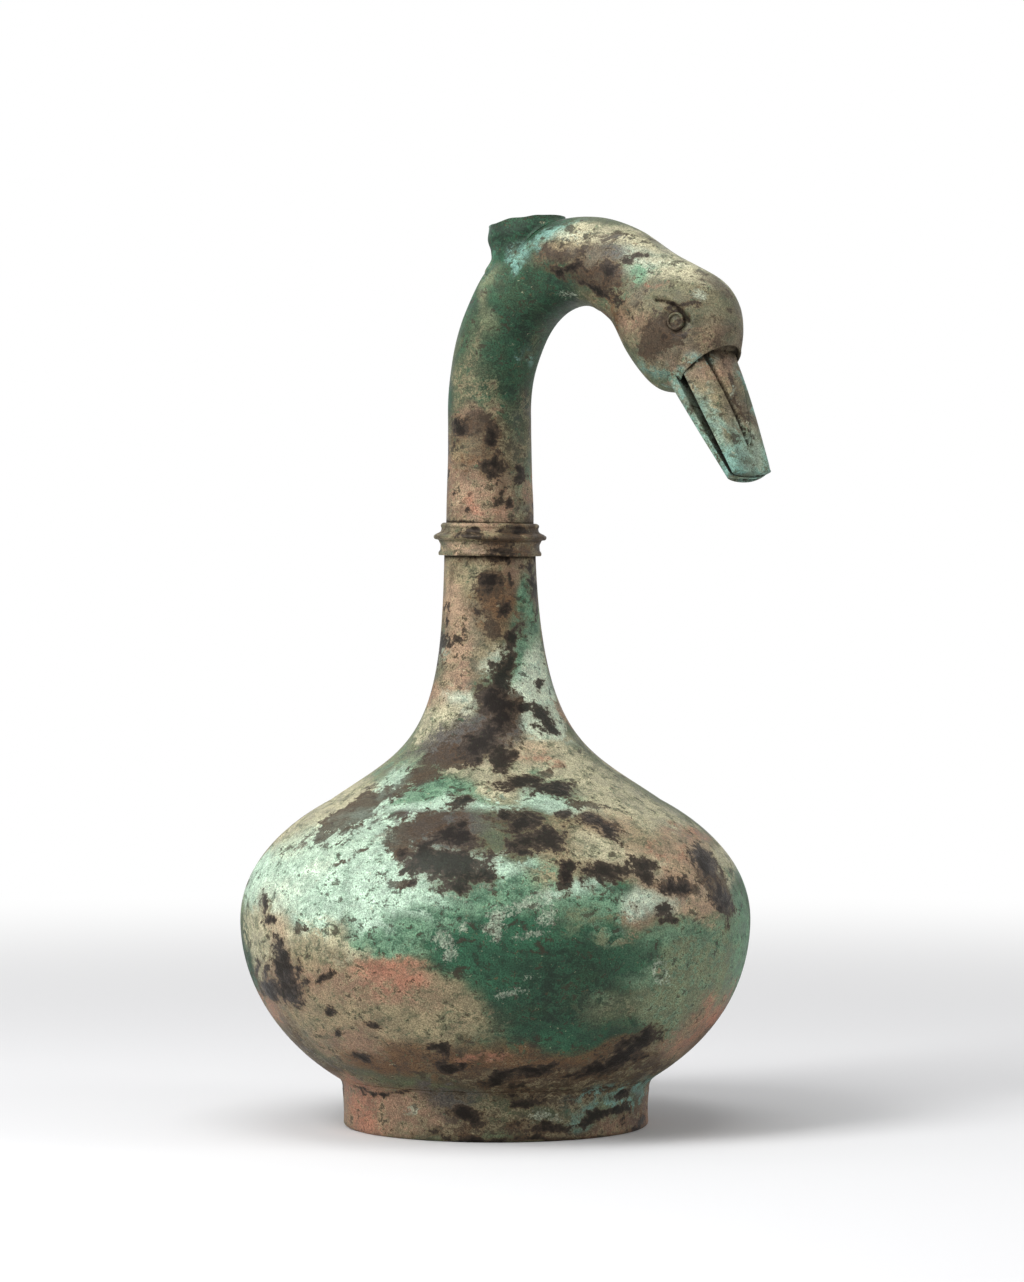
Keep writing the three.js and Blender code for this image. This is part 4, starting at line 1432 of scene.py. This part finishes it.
def bared(f, grit, colour):
    bare_field = f.attribute("bare") + grit.mixed(drift=44.0, grains=26.0, fine=12.0) + bare_margin
    specks = f.step(grit.ragged + grit.mixed(fine=0.2, drift=0.3), 0.6, 0.615)
    specks = specks.larger(f.step(grit.grains + grit.mixed(drift=0.3), 0.625, 0.64))
    bare = (f.step(bare_field, 0.0, 1.5) + specks * 0.8).limited()
    fringe = f.step(bare_field, -5.0, 0.0)
    colour = f.mix(fringe * 0.45, colour, shade("rust", 0.8))
    core = f.step(bare_field, 1.0, 9.0)
    metal = f.mix(core, shade("umber", 0.55), black_metal)
    metal = f.mix(f.step(grit.fine, 0.58, 0.7) * 0.4, metal, shade("olive", 0.7))
    return f.mix(bare * 0.95, colour, metal), bare, core


# %% [markdown]
# Painted shade darkens the creases last. Pale crust and grit stand up, bare metal lies lower and
# shines a little more, and the shaded creases are duller.

# %% Patina recipe
def patina(name, gloss=0.0, grain=1.0):
    f = Finish(name)
    grit = Grit(f)
    colour, pale = crusted(f, grit, veined_ground(f, grit))
    colour, bare, core = bared(f, grit, clouded(f, grit, colour))
    # Painted shade: the crease value darkens the colour towards dark umber and makes it rougher.
    crease_shade_mask = f.step(f.attribute("crease_shade") * 1.7 + grit.mixed(grains=0.8), 0.16, 0.8) * 0.9
    colour = f.mix(crease_shade_mask, colour, shade("umber", 0.25))
    rough = f.step(grit.drift, 0.35, 0.65, 0.42 - gloss, 0.64 - gloss) + grit.grains * 0.14
    rough = rough + pale * 0.12 - bare * 0.1 + crease_shade_mask * 0.5
    height = grit.grains * 0.5 + grit.fine * 0.4 + grit.dust * 0.15 + grit.drift * 0.4
    height = height + pale * 0.35 - bare * 0.4
    bump = {"Strength": 0.75 * grain, "Distance": 0.5 * MM, "Height": height}
    fed = {
        "Base Color": colour,
        "Roughness": rough.limited(),
        "Metallic": bare * core * 0.7,
        "Normal": f.node("ShaderNodeBump", None, bump),
        "Specular IOR Level": 0.25,
    }
    for socket, value in fed.items():
        f.feed(f.shader.inputs[socket], value)
    return f.material


finishes = {
    "belly": patina("belly_patina"),
    "foot": patina("foot_patina", grain=1.2),
    "ring": patina("ring_patina", gloss=0.04),
    "bent_neck": patina("neck_patina", gloss=0.06),
    "filling_mouth": patina("mouth_patina"),
    "head": patina("head_patina", gloss=0.06),
    "bill_upper": patina("bill_patina", grain=0.8),
}
finishes["bill_lower"] = finishes["bill_upper"]
finishes["eye_ring_left"] = finishes["eye_ring_right"] = finishes["head"]
for name, piece in pieces.items():
    piece.data.materials.clear()
    piece.data.materials.append(finishes[name])
print("finishes:", len(set(finishes.values())))

# %% [markdown]
# ## Stage and light
# The jar stands on a plain pale floor in soft light: a large box of light from the left, a
# smaller one from the right, and one from above. The backdrop is white because camera rays
# see a white world, and the jar itself is lit by a dimmer one.

# %% Floor that fades into the white backdrop away from the jar
floor = bmesh.new()
bmesh.ops.create_grid(floor, x_segments=1, y_segments=1, size=6)
floor_mesh = finished("floor", floor)
floor_object = shown("floor", floor_mesh)
pale_floor = Finish("pale_floor")
pale_floor.shader.inputs["Base Color"].default_value = (0.8, 0.8, 0.81, 1)
pale_floor.shader.inputs["Roughness"].default_value = 0.9
floor_place = pale_floor.node("ShaderNodeTexCoord", output="Object")
length = {"operation": "LENGTH"}
away = pale_floor.node("ShaderNodeVectorMath", length, {0: floor_place}, output="Value")
camera_ray = pale_floor.node("ShaderNodeLightPath", output="Is Camera Ray")
fade = pale_floor.step(away, 0.35, 1.3) * camera_ray
white = pale_floor.node("ShaderNodeEmission", None, {"Color": (1, 1, 1, 1), "Strength": 1.0})
lit = Value(pale_floor.tree, pale_floor.shader.outputs[0])
faded = pale_floor.node("ShaderNodeMixShader", None, {0: fade, 1: lit, 2: white})
output_node = pale_floor.tree.nodes["Material Output"]
pale_floor.feed(output_node.inputs["Surface"], faded)
floor_mesh.materials.append(pale_floor.material)

# %% World that is white to the camera and dimmer as a lamp
world = bpy.data.worlds.new("studio")
bpy.context.scene.world = world
world.use_nodes = True
backdrop = world.node_tree.nodes["Background"]
path = world.node_tree.nodes.new("ShaderNodeLightPath")


def path_value(name):
    return Value(world.node_tree, path.outputs[name])


seen = path_value("Is Camera Ray").larger(path_value("Is Glossy Ray"))
seen = seen.larger(path_value("Is Transmission Ray"))
lamp_strength = 0.34
strength = seen * (1 - lamp_strength) + lamp_strength
world.node_tree.links.new(strength.socket, backdrop.inputs["Strength"])
backdrop.inputs["Color"].default_value = (1, 1, 1, 1)


# %% Softboxes
aim = Vector((axis_x, 0, 0.18))


def softbox(name, azimuth, elevation, distance, size, power):
    light = bpy.data.lights.new(name, "AREA")
    light.shape = "RECTANGLE"
    light.size, light.size_y = size
    light.energy = power
    lamp = shown(name, light)
    turn = view_azimuth + math.radians(azimuth)
    rise = math.radians(elevation)
    direction = Vector(
        (math.sin(turn) * math.cos(rise), -math.cos(turn) * math.cos(rise), math.sin(rise))
    )
    lamp.location = aim + direction * distance
    lamp.rotation_euler = (-direction).to_track_quat("-Z", "Y").to_euler()


softbox("left_box", -50, 38, 1.5, (0.6, 1.0), 21)
softbox("right_box", 75, 20, 1.6, (0.5, 1.0), 5)
softbox("top_box", -10, 78, 1.4, (0.9, 0.9), 7)
print("lights placed")

# %% Colour as written, and the end
bpy.context.scene.view_settings.view_transform = "Standard"
